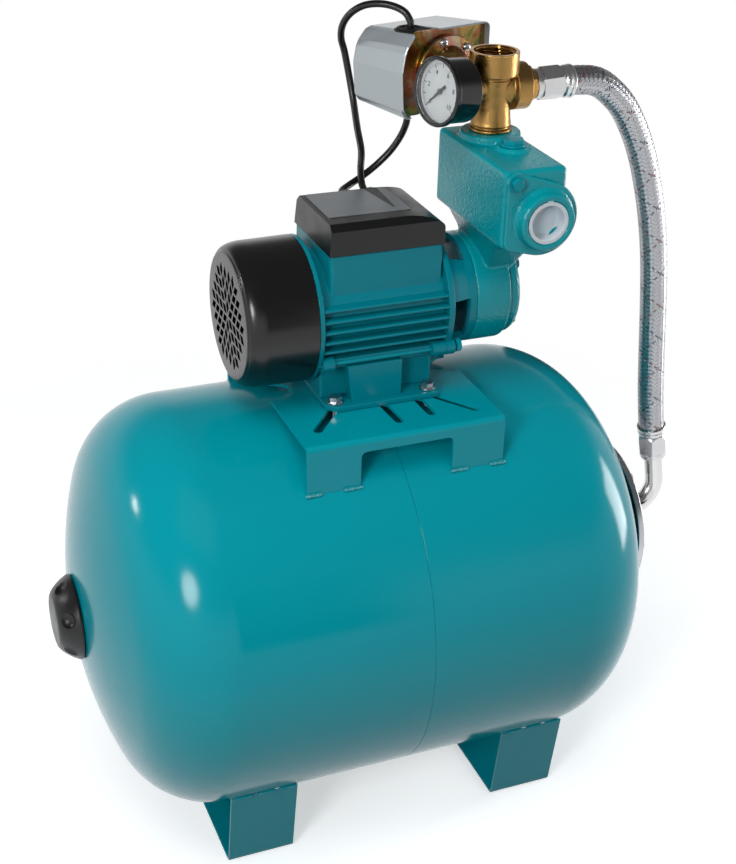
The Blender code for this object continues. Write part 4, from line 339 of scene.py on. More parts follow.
def eased(points, radius, steps=3, closed=False, least=12):
    """Round the corners of a polyline with arcs of about the given radius."""
    count = len(points)
    out = []
    for k in range(count):
        here = Vector(points[k])
        if not closed and k in (0, count - 1):
            out.append(tuple(here))
            continue
        before = Vector(points[(k - 1) % count]) - here
        after = Vector(points[(k + 1) % count]) - here
        if before.length < 1e-6 or after.length < 1e-6:
            continue
        corner = before.angle(after)
        if degrees(pi - corner) < least:
            out.append(tuple(here))
            continue
        reach = min(radius / tan(corner / 2), before.length * 0.45, after.length * 0.45)
        start = here + before.normalized() * reach
        end = here + after.normalized() * reach
        for n in range(steps + 1):
            t = n / steps
            out.append(tuple(start * (1 - t) ** 2 + here * 2 * t * (1 - t) + end * t * t))
    return out


def revolve(profile, segments, matrix=None, closed=False, ease=0.0):
    """Turn (along, radius) points round local Z."""
    if ease:
        profile = eased(profile, ease, 3, closed)
    vertices = []
    rings = []
    for along, radius in profile:
        if radius < 1e-6:
            rings.append([len(vertices)])
            vertices.append((0, 0, along))
            continue
        rings.append(list(range(len(vertices), len(vertices) + segments)))
        for k in range(segments):
            angle = 2 * pi * k / segments
            vertices.append((radius * cos(angle), radius * sin(angle), along))
    pairs = list(zip(rings, rings[1:]))
    if closed:
        pairs.append((rings[-1], rings[0]))
    faces = []
    for low, high in pairs:
        for k in range(segments):
            n = (k + 1) % segments
            corners = [low[k % len(low)], low[n % len(low)], high[n % len(high)],
                       high[k % len(high)]]
            face = list(dict.fromkeys(corners))
            if len(face) > 2:
                faces.append(face)
    return mesh_object(vertices, faces, matrix)


def ring(inner, outer, low, high, segments, matrix=None, ease=0.0):
    return revolve([(low, inner), (low, outer), (high, outer), (high, inner)], segments,
                   matrix, True, ease)


def prism(outline, low, high, matrix=None):
    count = len(outline)
    vertices = [(x, y, low) for x, y in outline] + [(x, y, high) for x, y in outline]
    faces = [list(range(count))[::-1], list(range(count, 2 * count))]
    for k in range(count):
        n = (k + 1) % count
        faces.append([k, n, count + n, count + k])
    return mesh_object(vertices, faces, matrix)


def circle(radius, segments, phase=0.0):
    return [(radius * cos(2 * pi * k / segments + phase),
             radius * sin(2 * pi * k / segments + phase)) for k in range(segments)]


def rod(radius, low, high, segments, matrix=None):
    return prism(circle(radius, segments, 0.013), low, high, matrix)


def box(low, high):
    outline = [(low[0], low[1]), (high[0], low[1]), (high[0], high[1]), (low[0], high[1])]
    return prism(outline, low[2], high[2])


def arc(centre, radius, start, end, steps):
    return [(centre[0] + radius * cos(radians(start + (end - start) * k / steps)),
             centre[1] + radius * sin(radians(start + (end - start) * k / steps)))
            for k in range(steps + 1)]


def sweep(points, radius, sides, inner=None):
    """A round bar, or a tube with open ends, along points."""
    path = [Vector(p) for p in points]
    tangents = [(path[min(k + 1, len(path) - 1)] - path[max(k - 1, 0)]).normalized()
                for k in range(len(path))]
    side = tangents[0].orthogonal().normalized()
    vertices = []
    faces = []
    radii = [radius] if inner is None else [radius, inner]
    for layer in radii:
        across = side.copy()
        for point, tangent in zip(path, tangents):
            across = (across - tangent * across.dot(tangent)).normalized()
            other = tangent.cross(across)
            for k in range(sides):
                angle = 2 * pi * k / sides
                vertices.append(point + layer * (cos(angle) * across + sin(angle) * other))
    count = len(path) * sides
    for layer in range(len(radii)):
        for row in range(len(path) - 1):
            for k in range(sides):
                a = layer * count + row * sides + k
                b = layer * count + row * sides + (k + 1) % sides
                faces.append([a, b, b + sides, a + sides])
    last = count - sides
    if inner is None:
        faces += [list(range(sides)), list(range(last, count))]
    else:
        for k in range(sides):
            n = (k + 1) % sides
            faces.append([k, n, count + n, count + k])
            faces.append([last + k, last + n, count + last + n, count + last + k])
    return mesh_object(vertices, faces)


def applied(obj):
    """Put an object's modifiers into its mesh."""
    bpy.context.view_layer.update()
    evaluated = obj.evaluated_get(bpy.context.evaluated_depsgraph_get())
    mesh = bpy.data.meshes.new_from_object(evaluated)
    if obj.type == "MESH":
        obj.modifiers.clear()
        obj.data = mesh
        return obj
    made = bpy.data.objects.new("shape", mesh)
    bpy.context.scene.collection.objects.link(made)
    bpy.data.objects.remove(obj)
    return made


def settle(target, tools, operation):
    for tool in tools:
        modifier = target.modifiers.new("step", "BOOLEAN")
        modifier.operation = operation
        modifier.solver = "EXACT"
        modifier.object = tool
    applied(target)
    for tool in tools:
        bpy.data.objects.remove(tool)
    return target


def join(target, *others):
    return settle(target, others, "UNION")


def cut(target, *tools):
    return settle(target, tools, "DIFFERENCE")


def bevelled(obj, width, segments=3, angle=32):
    modifier = obj.modifiers.new("bevel", "BEVEL")
    modifier.width = width
    modifier.segments = segments
    modifier.limit_method = "ANGLE"
    modifier.angle_limit = radians(angle)
    modifier.harden_normals = False
    return applied(obj)


def cast(obj, grid, passes=6, factor=0.5):
    """Rebuild a joined body on a fine grid and smooth it, so that its edges get cast fillets."""
    remesh = obj.modifiers.new("grid", "REMESH")
    remesh.mode = "VOXEL"
    remesh.voxel_size = grid
    smooth = obj.modifiers.new("smooth", "SMOOTH")
    smooth.factor = factor
    smooth.iterations = passes
    return applied(obj)


def merge(*shapes):
    """Put several shapes in one mesh."""
    bm = bmesh.new()
    for shape in shapes:
        bm.from_mesh(shape.data)
    bm.to_mesh(shapes[0].data)
    bm.free()
    for shape in shapes[1:]:
        bpy.data.objects.remove(shape)
    return shapes[0]


def piece(name, shape, material, body=ROOT, replaces=(), smooth=35, weighted=True):
    """Name a shape, move its mesh to the row frame, paint it and hang it on its body."""
    mesh = shape.data
    if material is not None:
        mesh.materials.clear()
        mesh.materials.append(material)
    mesh.transform(TO_ROW)
    mesh.shade_smooth()
    mesh.set_sharp_from_angle(angle=radians(smooth))
    shape.name = name
    mesh.name = name
    if weighted:
        modifier = shape.modifiers.new("normals", "WEIGHTED_NORMAL")
        modifier.keep_sharp = True
        applied(shape)
        shape.data.name = name
    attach(shape, body)
    if replaces:
        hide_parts(*replaces)
    return shape


# %% [markdown]
# ## Rules as node trees
#
# What repeats is made by small node trees with named inputs: items round a circle (bolts, dial
# marks), weld beads along a seam, cooling fins whose length follows the round of the motor, and
# the woven sleeve of the hose. A tree keeps the rule in one place, so that a count, a pitch or a
# radius can be changed without touching any geometry.

# %% Node tree builder
class Tree:
    """A geometry node group with named inputs."""

    def __init__(self, name, inputs):
        self.group = bpy.data.node_groups.new(name, "GeometryNodeTree")
        self.nodes = self.group.nodes
        self.sockets = {}
        self.group.interface.new_socket("Geometry", in_out="INPUT",
                                        socket_type="NodeSocketGeometry")
        self.group.interface.new_socket("Geometry", in_out="OUTPUT",
                                        socket_type="NodeSocketGeometry")
        for label, kind in inputs:
            made = self.group.interface.new_socket(label, in_out="INPUT",
                                                   socket_type="NodeSocket" + kind)
            self.sockets[label] = made.identifier
        self.start = self.nodes.new("NodeGroupInput")
        self.end = self.nodes.new("NodeGroupOutput")

    def give(self, label):
        return self.start.outputs[label]

    def put(self, kind, inputs=None, **settings):
        node = self.nodes.new(kind)
        for key, value in settings.items():
            setattr(node, key, value)
        for key, value in (inputs or {}).items():
            socket = node.inputs[key]
            if isinstance(value, bpy.types.NodeSocket):
                self.group.links.new(value, socket)
            else:
                socket.default_value = value
        return node

    def math(self, operation, a, b=0.0):
        node = self.put("ShaderNodeMath", {0: a, 1: b}, operation=operation)
        return node.outputs[0]

    def vector(self, operation, a, b=None, scale=None):
        inputs = {0: a}
        if b is not None:
            inputs[1] = b
        node = self.put("ShaderNodeVectorMath", inputs, operation=operation)
        if scale is not None:
            if isinstance(scale, bpy.types.NodeSocket):
                self.group.links.new(scale, node.inputs["Scale"])
            else:
                node.inputs["Scale"].default_value = scale
        return node.outputs[0]

    def done(self, geometry):
        """Close the tree: real geometry, then its material."""
        real = self.put("GeometryNodeRealizeInstances", {"Geometry": geometry})
        paint_it = self.put("GeometryNodeSetMaterial", {"Geometry": real.outputs[0],
                                                        "Material": self.give("Material")})
        self.group.links.new(paint_it.outputs[0], self.end.inputs[0])


def grown(shape, tree, values):
    """Run a tree on a shape with the given input values and keep the mesh that results."""
    modifier = shape.modifiers.new(tree.group.name, "NODES")
    modifier.node_group = tree.group
    for label, value in values.items():
        modifier[tree.sockets[label]] = value
    return applied(shape)


# %% Items round a circle
round_tree = Tree("items_round_circle", [("Count", "Int"), ("Radius", "Float"), ("Start", "Float"),
                                         ("Sweep", "Float"), ("Material", "Material")])
round_line = round_tree.put("GeometryNodeMeshLine",
                            {"Count": round_tree.give("Count"), "Offset": (0, 0, 0)})
round_index = round_tree.put("GeometryNodeInputIndex").outputs[0]
round_step = round_tree.math("DIVIDE", round_tree.give("Sweep"), round_tree.give("Count"))
round_angle = round_tree.math("ADD", round_tree.math("MULTIPLY", round_index, round_step),
                              round_tree.give("Start"))
round_x = round_tree.math("MULTIPLY", round_tree.math("COSINE", round_angle),
                          round_tree.give("Radius"))
round_y = round_tree.math("MULTIPLY", round_tree.math("SINE", round_angle),
                          round_tree.give("Radius"))
round_place = round_tree.put("ShaderNodeCombineXYZ", {"X": round_x, "Y": round_y})
round_points = round_tree.put("GeometryNodeSetPosition", {"Geometry": round_line.outputs[0],
                                                          "Position": round_place.outputs[0]})
round_euler = round_tree.put("ShaderNodeCombineXYZ", {"Z": round_angle})
round_turn = round_tree.put("FunctionNodeEulerToRotation", {0: round_euler.outputs[0]})
round_items = round_tree.put("GeometryNodeInstanceOnPoints",
                             {"Points": round_points.outputs[0],
                              "Instance": round_tree.give("Geometry"),
                              "Rotation": round_turn.outputs[0]})
round_tree.done(round_items.outputs[0])


def round_circle(item, count, radius, start, material, matrix, sweep_angle=2 * pi):
    """Copies of an item round local Z, then moved as a whole by the matrix."""
    made = grown(item, round_tree, {"Count": count, "Radius": radius, "Start": start,
                                    "Sweep": sweep_angle, "Material": material})
    made.data.transform(matrix)
    return made


def bolt_item(head, height, washer=0.0, washer_height=1.2, dome=0.0):
    """A hexagon head on local z = 0, with an optional washer below."""
    shapes = []
    base = 0.0
    if washer:
        shapes.append(ring(head * 0.4, washer, 0, washer_height, 32, None, 0.25))
        base = washer_height
    hexagon = revolve([(base, 0), (base, head * 0.97), (base + height * 0.82, head),
                       (base + height, head * 0.86), (base + height + dome, 0)], 48)
    flats = prism(circle(head, 6), base - 1, base + height + dome + 1)
    modifier = hexagon.modifiers.new("flats", "BOOLEAN")
    modifier.operation = "INTERSECT"
    modifier.solver = "EXACT"
    modifier.object = flats
    applied(hexagon)
    bpy.data.objects.remove(flats)
    shapes.append(bevelled(hexagon, 0.18, 2, 25))
    return merge(*shapes)


# %% Weld beads along a line
bead_tree = Tree("weld_bead", [("Spacing", "Float"), ("Width", "Float"), ("Seed", "Int"),
                               ("Material", "Material")])
bead_points = bead_tree.put("GeometryNodeCurveToPoints",
                            {"Curve": bead_tree.give("Geometry"),
                             "Length": bead_tree.give("Spacing")}, mode="LENGTH")
bead_ball = bead_tree.put("GeometryNodeMeshIcoSphere", {"Radius": 1.0, "Subdivisions": 3})
bead_random = bead_tree.put("FunctionNodeRandomValue", {"Seed": bead_tree.give("Seed")},
                            data_type="FLOAT")
bead_random.inputs[2].default_value = 0.75
bead_random.inputs[3].default_value = 1.1
bead_scale = bead_tree.math("MULTIPLY", bead_random.outputs[1], bead_tree.give("Width"))
bead_items = bead_tree.put("GeometryNodeInstanceOnPoints", {"Points": bead_points.outputs[0],
                                                            "Instance": bead_ball.outputs[0],
                                                            "Scale": bead_scale})
bead_tree.done(bead_items.outputs[0])


def curve_of(points, cyclic=False):
    data = bpy.data.curves.new("line", "CURVE")
    data.dimensions = "3D"
    spline = data.splines.new("POLY")
    spline.points.add(len(points) - 1)
    for target, point in zip(spline.points, points):
        target.co = (*point, 1)
    spline.use_cyclic_u = cyclic
    made = bpy.data.objects.new("line", data)
    bpy.context.scene.collection.objects.link(made)
    return made


def weld(points, width, seed=0, spacing=None):
    return grown(curve_of(points), bead_tree, {"Spacing": spacing or width * 0.9, "Width": width,
                                               "Seed": seed, "Material": weld_metal})


# %% [markdown]
# ## The hose and the cables
#
# The hose runs from the fitting's side port over and down to the pipe at the tank's end. Its
# braid takes the pressure: flat bands of steel wire cross over and under each
# other round a rubber core. The tree copies the hose's centreline once for each band, winds each
# copy round it, lifts and lowers it where bands cross, and sweeps a ribbed ribbon along it.
# Every eighth band or so carries a coloured tracer thread. The cables are plain round jackets.

# %% Routes, as in the solids
GAP = 0.3
HOSE_RADIUS = 12.0
CABLE_RADIUS = 3.0
SHAFT_Z = 260.0
PORT_X = 113.0
SIDE_Z = 429.0
ELBOW_START = 288.3
ELBOW_RADIUS = 26.0
ELBOW_TURN = radians(100)
ELBOW_TAIL = 25.0
FERRULE_LENGTH = 34.0
elbow_end = Vector((ELBOW_START + ELBOW_RADIUS * sin(ELBOW_TURN), 0,
                    ELBOW_RADIUS * (1 - cos(ELBOW_TURN))))
elbow_way = Vector((cos(ELBOW_TURN), 0, sin(ELBOW_TURN)))
lower_base = elbow_end + elbow_way * (ELBOW_TAIL + GAP)
lower_top = lower_base + elbow_way * (FERRULE_LENGTH + GAP)
upper_base = Vector((149.0, 0, SIDE_Z))
upper_top = upper_base + X_AXIS * (FERRULE_LENGTH + GAP)
HOSE_ROUTE = [upper_top, upper_top + X_AXIS * 6, (206, 0, 427), (221, 0, 418), (239, 0, 399),
              (258, 0, 363), (273, 0, 316), (283, 0, 268), (289, 0, 219), (293.5, 0, 172),
              (297.5, 0, 132), lower_top + elbow_way * 6, lower_top]
GAUGE_AXIS = Vector((-cos(radians(15.5)) * cos(radians(5)),
                     -sin(radians(15.5)) * cos(radians(5)), sin(radians(5))))
SWITCH_AXIS = Vector((-sin(radians(14)), cos(radians(14)), 0))
gauge_axis = frame_on((PORT_X, 0, SIDE_Z), GAUGE_AXIS)
switch_axis = frame_on((PORT_X, 0, SIDE_Z), SWITCH_AXIS)
shaft_axis = frame_on((0, 0, SHAFT_Z), X_AXIS)
tank_axis = frame_on((0, 0, 0), X_AXIS)
to_yz = Matrix(((0, 0, 1, 0), (1, 0, 0, 0), (0, 1, 0, 0), (0, 0, 0, 1)))
to_xz = Matrix(((1, 0, 0, 0), (0, 0, 1, 0), (0, 1, 0, 0), (0, 0, 0, 1)))
port_axis = Matrix.Translation((PORT_X, 0, 0))
GROMMET_SIDE = -24.0
GROMMET_BACK = 80.0
EAR_TOP, EAR_BOTTOM = 31.0, -33.5
GROMMET_RISE = 3.2
top_exit = switch_axis @ Vector((EAR_TOP + GROMMET_RISE + GAP, GROMMET_SIDE, GROMMET_BACK))
bottom_exit = switch_axis @ Vector((EAR_BOTTOM - GROMMET_RISE - GAP, GROMMET_SIDE, GROMMET_BACK))
GLAND_X = (8.0, 30.0)
GLAND_Z = SHAFT_Z + 69.0
GLAND_END = 42.5 + 15.0 + GAP
CABLE_TOP_ROUTE = [top_exit, top_exit + Z_AXIS * 4, (66.5, 75, 475), (59, 82, 479), (49, 90, 480),
                   (39, 99, 477), (31, 108, 469), (27, 115, 458), (28, 120.5, 446),
                   (32, 122.5, 434), (36, 121.5, 414), (38, 115, 393), (37, 102, 373),
                   (36, 89, 357), (33, 82, 343), (31, 73.5, 332.5),
                   (GLAND_X[1], GLAND_END + 4, GLAND_Z), (GLAND_X[1], GLAND_END, GLAND_Z)]
CABLE_BOTTOM_ROUTE = [bottom_exit, bottom_exit - Z_AXIS * 4, (69.8, 73.2, 381), (67, 77, 370),
                      (60, 81, 357), (49, 84, 345), (36, 84, 336), (22, 79, 331), (12, 71, 329.5),
                      (GLAND_X[0], GLAND_END + 4, GLAND_Z), (GLAND_X[0], GLAND_END, GLAND_Z)]


def smooth_route(route, spacing):
    """Evenly spaced points on a smooth curve through a route, straight at both ends."""
    path = [Vector(p) for p in route[1:-1]]
    padded = [Vector(route[0])] + path + [Vector(route[-1])]
    dense = []
    for k in range(1, len(padded) - 2):
        p0, p1, p2, p3 = padded[k - 1:k + 3]
        for n in range(12):
            t = n / 12
            dense.append(0.5 * (2 * p1 + (p2 - p0) * t + (2 * p0 - 5 * p1 + 4 * p2 - p3) * t * t
                                + (3 * p1 - p0 - 3 * p2 + p3) * t ** 3))
    dense.append(path[-1])
    travelled = [0.0]
    for a, b in zip(dense, dense[1:]):
        travelled.append(travelled[-1] + (b - a).length)
    count = max(3, round(travelled[-1] / spacing))
    chosen = [Vector(route[0])]
    row = 0
    for k in range(count + 1):
        wanted = travelled[-1] * k / count
        while row < len(dense) - 2 and travelled[row + 1] < wanted:
            row += 1
        span = travelled[row + 1] - travelled[row]
        chosen.append(dense[row].lerp(dense[row + 1],
                                      (wanted - travelled[row]) / span if span else 0))
    chosen.append(Vector(route[-1]))
    return chosen


# %% Woven braid tree
braid_tree = Tree("woven_braid", [("Bands", "Int"), ("Radius", "Float"), ("Pitch", "Float"),
                                  ("Way", "Float"), ("Lift", "Float"), ("Points", "Int"),
                                  ("Band width", "Float"), ("Material", "Material")])
b = braid_tree
even = b.put("GeometryNodeResampleCurve", {"Curve": b.give("Geometry"), "Count": b.give("Points")})
run = b.put("GeometryNodeSplineParameter").outputs["Length"]
kept = even.outputs[0]
for label, kind, source in (("run", "FLOAT", run),
                            ("along", "FLOAT_VECTOR", b.put("GeometryNodeInputTangent").outputs[0]),
                            ("across", "FLOAT_VECTOR",
                             b.put("GeometryNodeInputNormal").outputs[0])):
    keep = b.put("GeometryNodeStoreNamedAttribute",
                 {"Geometry": kept, "Name": label, "Value": source}, data_type=kind, domain="POINT")
    kept = keep.outputs[0]
copies = b.put("GeometryNodeDuplicateElements",
               {"Geometry": kept, "Amount": b.give("Bands")}, domain="SPLINE")
read = {label: b.put("GeometryNodeInputNamedAttribute", {"Name": label}, data_type=kind).outputs[0]
        for label, kind in (("run", "FLOAT"), ("along", "FLOAT_VECTOR"),
                            ("across", "FLOAT_VECTOR"))}
band = copies.outputs["Duplicate Index"]
numbered = b.put("GeometryNodeStoreNamedAttribute", {"Geometry": copies.outputs[0], "Name": "band",
                                                     "Value": band},
                 data_type="FLOAT", domain="POINT")
band_read = b.put("GeometryNodeInputNamedAttribute", {"Name": "band"}, data_type="FLOAT").outputs[0]
share = b.math("DIVIDE", band_read, b.give("Bands"))
turns = b.math("ADD", b.math("MULTIPLY", b.math("DIVIDE", read["run"], b.give("Pitch")),
                             b.give("Way")), share)
angle = b.math("MULTIPLY", turns, 2 * pi)
crossing = b.math("MULTIPLY", b.math("DIVIDE", read["run"], b.give("Pitch")), b.give("Bands"))
wave = b.math("COSINE", b.math("MULTIPLY", crossing, 2 * pi))
height = b.math("ADD", b.give("Radius"),
                b.math("MULTIPLY", b.math("MULTIPLY", wave, b.give("Lift")), b.give("Way")))
beside = b.vector("CROSS_PRODUCT", read["along"], read["across"])
outward = b.vector("ADD", b.vector("SCALE", read["across"], scale=b.math("COSINE", angle)),
                   b.vector("SCALE", beside, scale=b.math("SINE", angle)))
moved = b.put("GeometryNodeSetPosition", {"Geometry": numbered.outputs[0],
                                          "Offset": b.vector("SCALE", outward, scale=height)})
turned = b.put("GeometryNodeSetCurveNormal", {"Curve": moved.outputs[0]})
turned.mode = "FREE"
b.group.links.new(outward, turned.inputs["Normal"])
tracer_step = b.put("ShaderNodeMath", {0: band_read, 1: 8.0}, operation="MODULO").outputs[0]
is_tracer = b.put("ShaderNodeMath", {0: tracer_step, 1: 0.5}, operation="LESS_THAN").outputs[0]
tracer_kind = b.math("ADD", 0.3,
                     b.math("MULTIPLY", b.math("DIVIDE", band_read, b.give("Bands")), 0.7))
tracer = b.math("MULTIPLY", is_tracer, tracer_kind)
marked = b.put("GeometryNodeStoreNamedAttribute", {"Geometry": turned.outputs[0], "Name": "tracer",
                                                   "Value": tracer},
               data_type="FLOAT", domain="POINT")
ribbon = b.put("GeometryNodeCurvePrimitiveLine", {"Start": (0, -0.5, 0), "End": (0, 0.5, 0)})
ribbon_fine = b.put("GeometryNodeResampleCurve", {"Curve": ribbon.outputs[0], "Count": 7})
ribbon_at = b.put("GeometryNodeInputPosition").outputs[0]
ribbon_y = b.put("ShaderNodeSeparateXYZ", {0: ribbon_at}).outputs["Y"]
ripple = b.math("MULTIPLY",
                b.math("ABSOLUTE", b.math("COSINE", b.math("MULTIPLY", ribbon_y, 4 * pi))), 0.2)
ripple_at = b.put("ShaderNodeCombineXYZ", {"X": ripple})
ribbed = b.put("GeometryNodeSetPosition", {"Geometry": ribbon_fine.outputs[0],
                                           "Offset": ripple_at.outputs[0]})
wide = b.put("ShaderNodeCombineXYZ", {"X": 1.0, "Y": b.give("Band width"), "Z": 1.0})
rib_kept = b.put("GeometryNodeStoreNamedAttribute", {"Geometry": ribbed.outputs[0], "Name": "rib",
                                                     "Value": b.math("ABSOLUTE", ribbon_y)},
                 data_type="FLOAT", domain="POINT")
sized = b.put("GeometryNodeTransform", {"Geometry": rib_kept.outputs[0], "Scale": wide.outputs[0]})
woven = b.put("GeometryNodeCurveToMesh",
              {"Curve": marked.outputs[0], "Profile Curve": sized.outputs[0]})
b.done(woven.outputs[0])

# %% Hose and cables
hose_path = smooth_route(HOSE_ROUTE, 6)
core = sweep(hose_path, HOSE_RADIUS - 0.7, 32)
piece("hose_core", core, rubber, replaces=(), smooth=60)
sleeve_parts = []
for way in (1.0, -1.0):
    line = curve_of([tuple(p) for p in hose_path])
    sleeve_parts.append(grown(line, braid_tree, {"Bands": 16, "Radius": HOSE_RADIUS - 0.35,
                                                 "Pitch": 64.0, "Way": way, "Lift": 0.2,
                                                 "Points": 440, "Band width": 2.7,
                                                 "Material": braid}))
sleeve = piece("hose_braid", merge(*sleeve_parts), braid, replaces=("braided_hose",),
               smooth=60, weighted=False)
for name, route in (("switch_cable_top", CABLE_TOP_ROUTE),
                    ("switch_cable_bottom", CABLE_BOTTOM_ROUTE)):
    path = smooth_route(route, 3)
    cable = piece(name + "_jacket", sweep(path, CABLE_RADIUS, 20), cable_jacket, replaces=(name,),
                  smooth=60)


# %% [markdown]
# ## The tank
#
# A tank shell is deep drawn from sheet: a large crown radius in the middle and a small knuckle
# radius at the edge. Two such ends meet in one seam. Because the whole form follows from five
# numbers for each end, it is turned from a profile and needs no modelling by eye.

# %% Tank, flange, valve and cap
TANK_RADIUS = 180.0
SEAM_X = 4.0


def head_section(pole, inward, crown, knuckle, radius, hole, crown_steps=26, knuckle_steps=22):
    turn = asin((radius - knuckle) / (crown - knuckle))
    start = asin(hole / crown)
    crown_x = pole + inward * crown
    knuckle_x = crown_x - inward * (crown - knuckle) * cos(turn)
    points = [(crown_x - inward * crown * cos(start + (turn - start) * k / crown_steps),
               crown * sin(start + (turn - start) * k / crown_steps))
              for k in range(crown_steps + 1)]
    points += [(knuckle_x - inward * knuckle * cos(turn + (pi / 2 - turn) * k / knuckle_steps),
                radius - knuckle + knuckle * sin(turn + (pi / 2 - turn) * k / knuckle_steps))
               for k in range(1, knuckle_steps + 1)]
    return points


def seam_edge(sign):
    """The rolled edge of one shell at the seam, from the barrel inwards."""
    end = SEAM_X + sign * GAP / 2
    return [(end + sign * 1.4, TANK_RADIUS), (end + sign * 0.35, TANK_RADIUS - 0.05),
            (end, TANK_RADIUS - 0.3), (end, TANK_RADIUS - 1.5)]


left = head_section(-254.5, 1, 350, 80, TANK_RADIUS, 7)
left_inner = head_section(-253, 1, 348.5, 78.5, TANK_RADIUS - 1.5, 7)
shell = revolve(left + seam_edge(-1) + left_inner[::-1], 224, tank_axis, True)
piece("tank_left", shell, paint, replaces=("tank_shell_left",), smooth=45)
right = head_section(250, -1, 315, 86, TANK_RADIUS, 54)
right_inner = head_section(248.5, -1, 313.5, 84.5, TANK_RADIUS - 1.5, 48)
neck = [(252, 48), (252, 69.2), (251.2, 70), (250, 70), (249, 69.2), (246, 54)]
shell = revolve(neck + right + seam_edge(1) + right_inner[::-1], 224, tank_axis, True)
piece("tank_right", shell, paint, replaces=("tank_shell_right",), smooth=45)
flange = revolve([(256, 8.8), (256, 75), (262, 75), (262, 19), (264, 17), (268, 17), (268, 8.8)],
                 128, tank_axis, True, 1.2)
piece("flange_plate", flange, zinc, replaces=("tank_flange",))
bolts = round_circle(bolt_item(5.8, 4.2, 6.6), 6, 62.0, radians(30), zinc,
                     frame_on((262, 0, 0), X_AXIS))
piece("flange_bolts", bolts, zinc)
valve = revolve([(-10, 2), (-10, 6.5), (0.6, 6.5), (0.6, 11), (2.2, 11), (2.2, 4.5), (13, 4.5),
                 (13, 2)], 48, frame_on((-254.5, 0, 0), -X_AXIS), True, 0.3)
piece("valve_body", valve, turned_brass, replaces=("air_valve",))


def valve_cap():
    axis = frame_on((-253.5, 0, 0), -X_AXIS)
    height, rim, big, face = 19.0, 2.0, 37.0, 20.5
    profile = [(height - 3, 0), (height - 3, 8), (4, 8), (4, 28), (0, 30), (0, big - 0.5),
               (0.5, big), (rim, big)]
    for k in range(1, 25):
        share = k / 25
        bulge = (1 - share + sqrt(1 - share ** 2)) / 2
        profile.append((rim + (height - rim) * share, face + (big - face) * bulge))
    profile += [(height - 0.3, face + 0.9), (height, face), (height, 0)]
    shape = revolve(profile, 160, axis)
    balls = []
    for k in range(6):
        angle = 2 * pi * k / 6
        place = axis @ Matrix.Translation((35.8 * cos(angle), 35.8 * sin(angle), 14.5))
        balls.append(revolve([(-9.2 * cos(pi * n / 24), 9.2 * sin(pi * n / 24)) for n in range(25)],
                             48, place))
    shape = cut(shape, merge(*balls))
    return bevelled(shape, 0.7, 3, 24)


piece("cap", valve_cap(), black_plastic, body="air_valve_cap_body", replaces=("air_valve_cap",),
      smooth=40)
print("tank", 2 * TANK_RADIUS, "mm across")

# %% [markdown]
# ## Feet and platform
#
# The feet are strips bent to a trough, and the platform is one sheet bent down at the front and
# the back. All of them are cut to the tank's round and welded on. The welds matter to the eye:
# without them, sheet that only touches a tank looks like a toy. They are rows of overlapping
# beads, painted over with the rest.

# %% Feet, platform and welds
LEAN = tan(radians(9))
tank_round = TANK_RADIUS + GAP


def foot(name, middle):
    depth, outer, bend, wall = AXIS_HEIGHT, 110.0, 6.0, 2.5
    top = -TANK_RADIUS * 0.55
    rise = top + depth
    outside = [(outer + LEAN * rise, top), (outer, -depth)]
    inside = [(outer - wall + LEAN * wall, -depth + wall), (outer - wall + LEAN * rise, top)]
    outside = eased([outside[0], outside[1], (0, -depth)], bend, 8)[:-1]
    inside = eased([(0, -depth + wall), inside[0], inside[1]], bend - wall, 8)[1:]
    outline = outside + [(-y, z) for y, z in outside[::-1]] + [(-y, z) for y,
                                                               z in inside[::-1]] + inside
    strip = prism(outline, middle - 30, middle + 30, to_yz)
    strip = bevelled(strip, 0.6, 2, 50)
    body = rod(tank_round, middle - 60, middle + 60, 320, tank_axis)
    piece(name + "_strip", cut(strip, body), sheet_paint, replaces=(name,))
    a = 1 + LEAN ** 2
    start = outer + LEAN * depth
    z = (-start * LEAN - sqrt((start * LEAN) ** 2 - a * (start ** 2 - TANK_RADIUS ** 2))) / a
    y = start + LEAN * z
    beads = []
    for sign in (-1, 1):
        for n, (low, high) in enumerate(((-27, -13), (-5, 7), (14, 27))):
            beads.append(weld([(middle + low, sign * (y + 0.6), z - 0.8),
                               (middle + high, sign * (y + 0.6), z - 0.8)], 1.9, n))
    piece(name + "_welds", merge(*beads), sheet_paint)


foot("foot_left", -125.0)
foot("foot_right", 132.0)
PLATE_TOP = 187.3
PLATE_LEFT, PLATE_RIGHT, PLATE_HALF = -82.4, 89.9, 107.0


def slot_cutter(x1, y1, x2, y2, low, high, width=8.0):
    angle = degrees(atan2(y2 - y1, x2 - x1))
    outline = arc((x2, y2), width / 2, angle - 90, angle + 90, 16)
    outline += arc((x1, y1), width / 2, angle + 90, angle + 270, 16)
    return prism(outline, low, high)


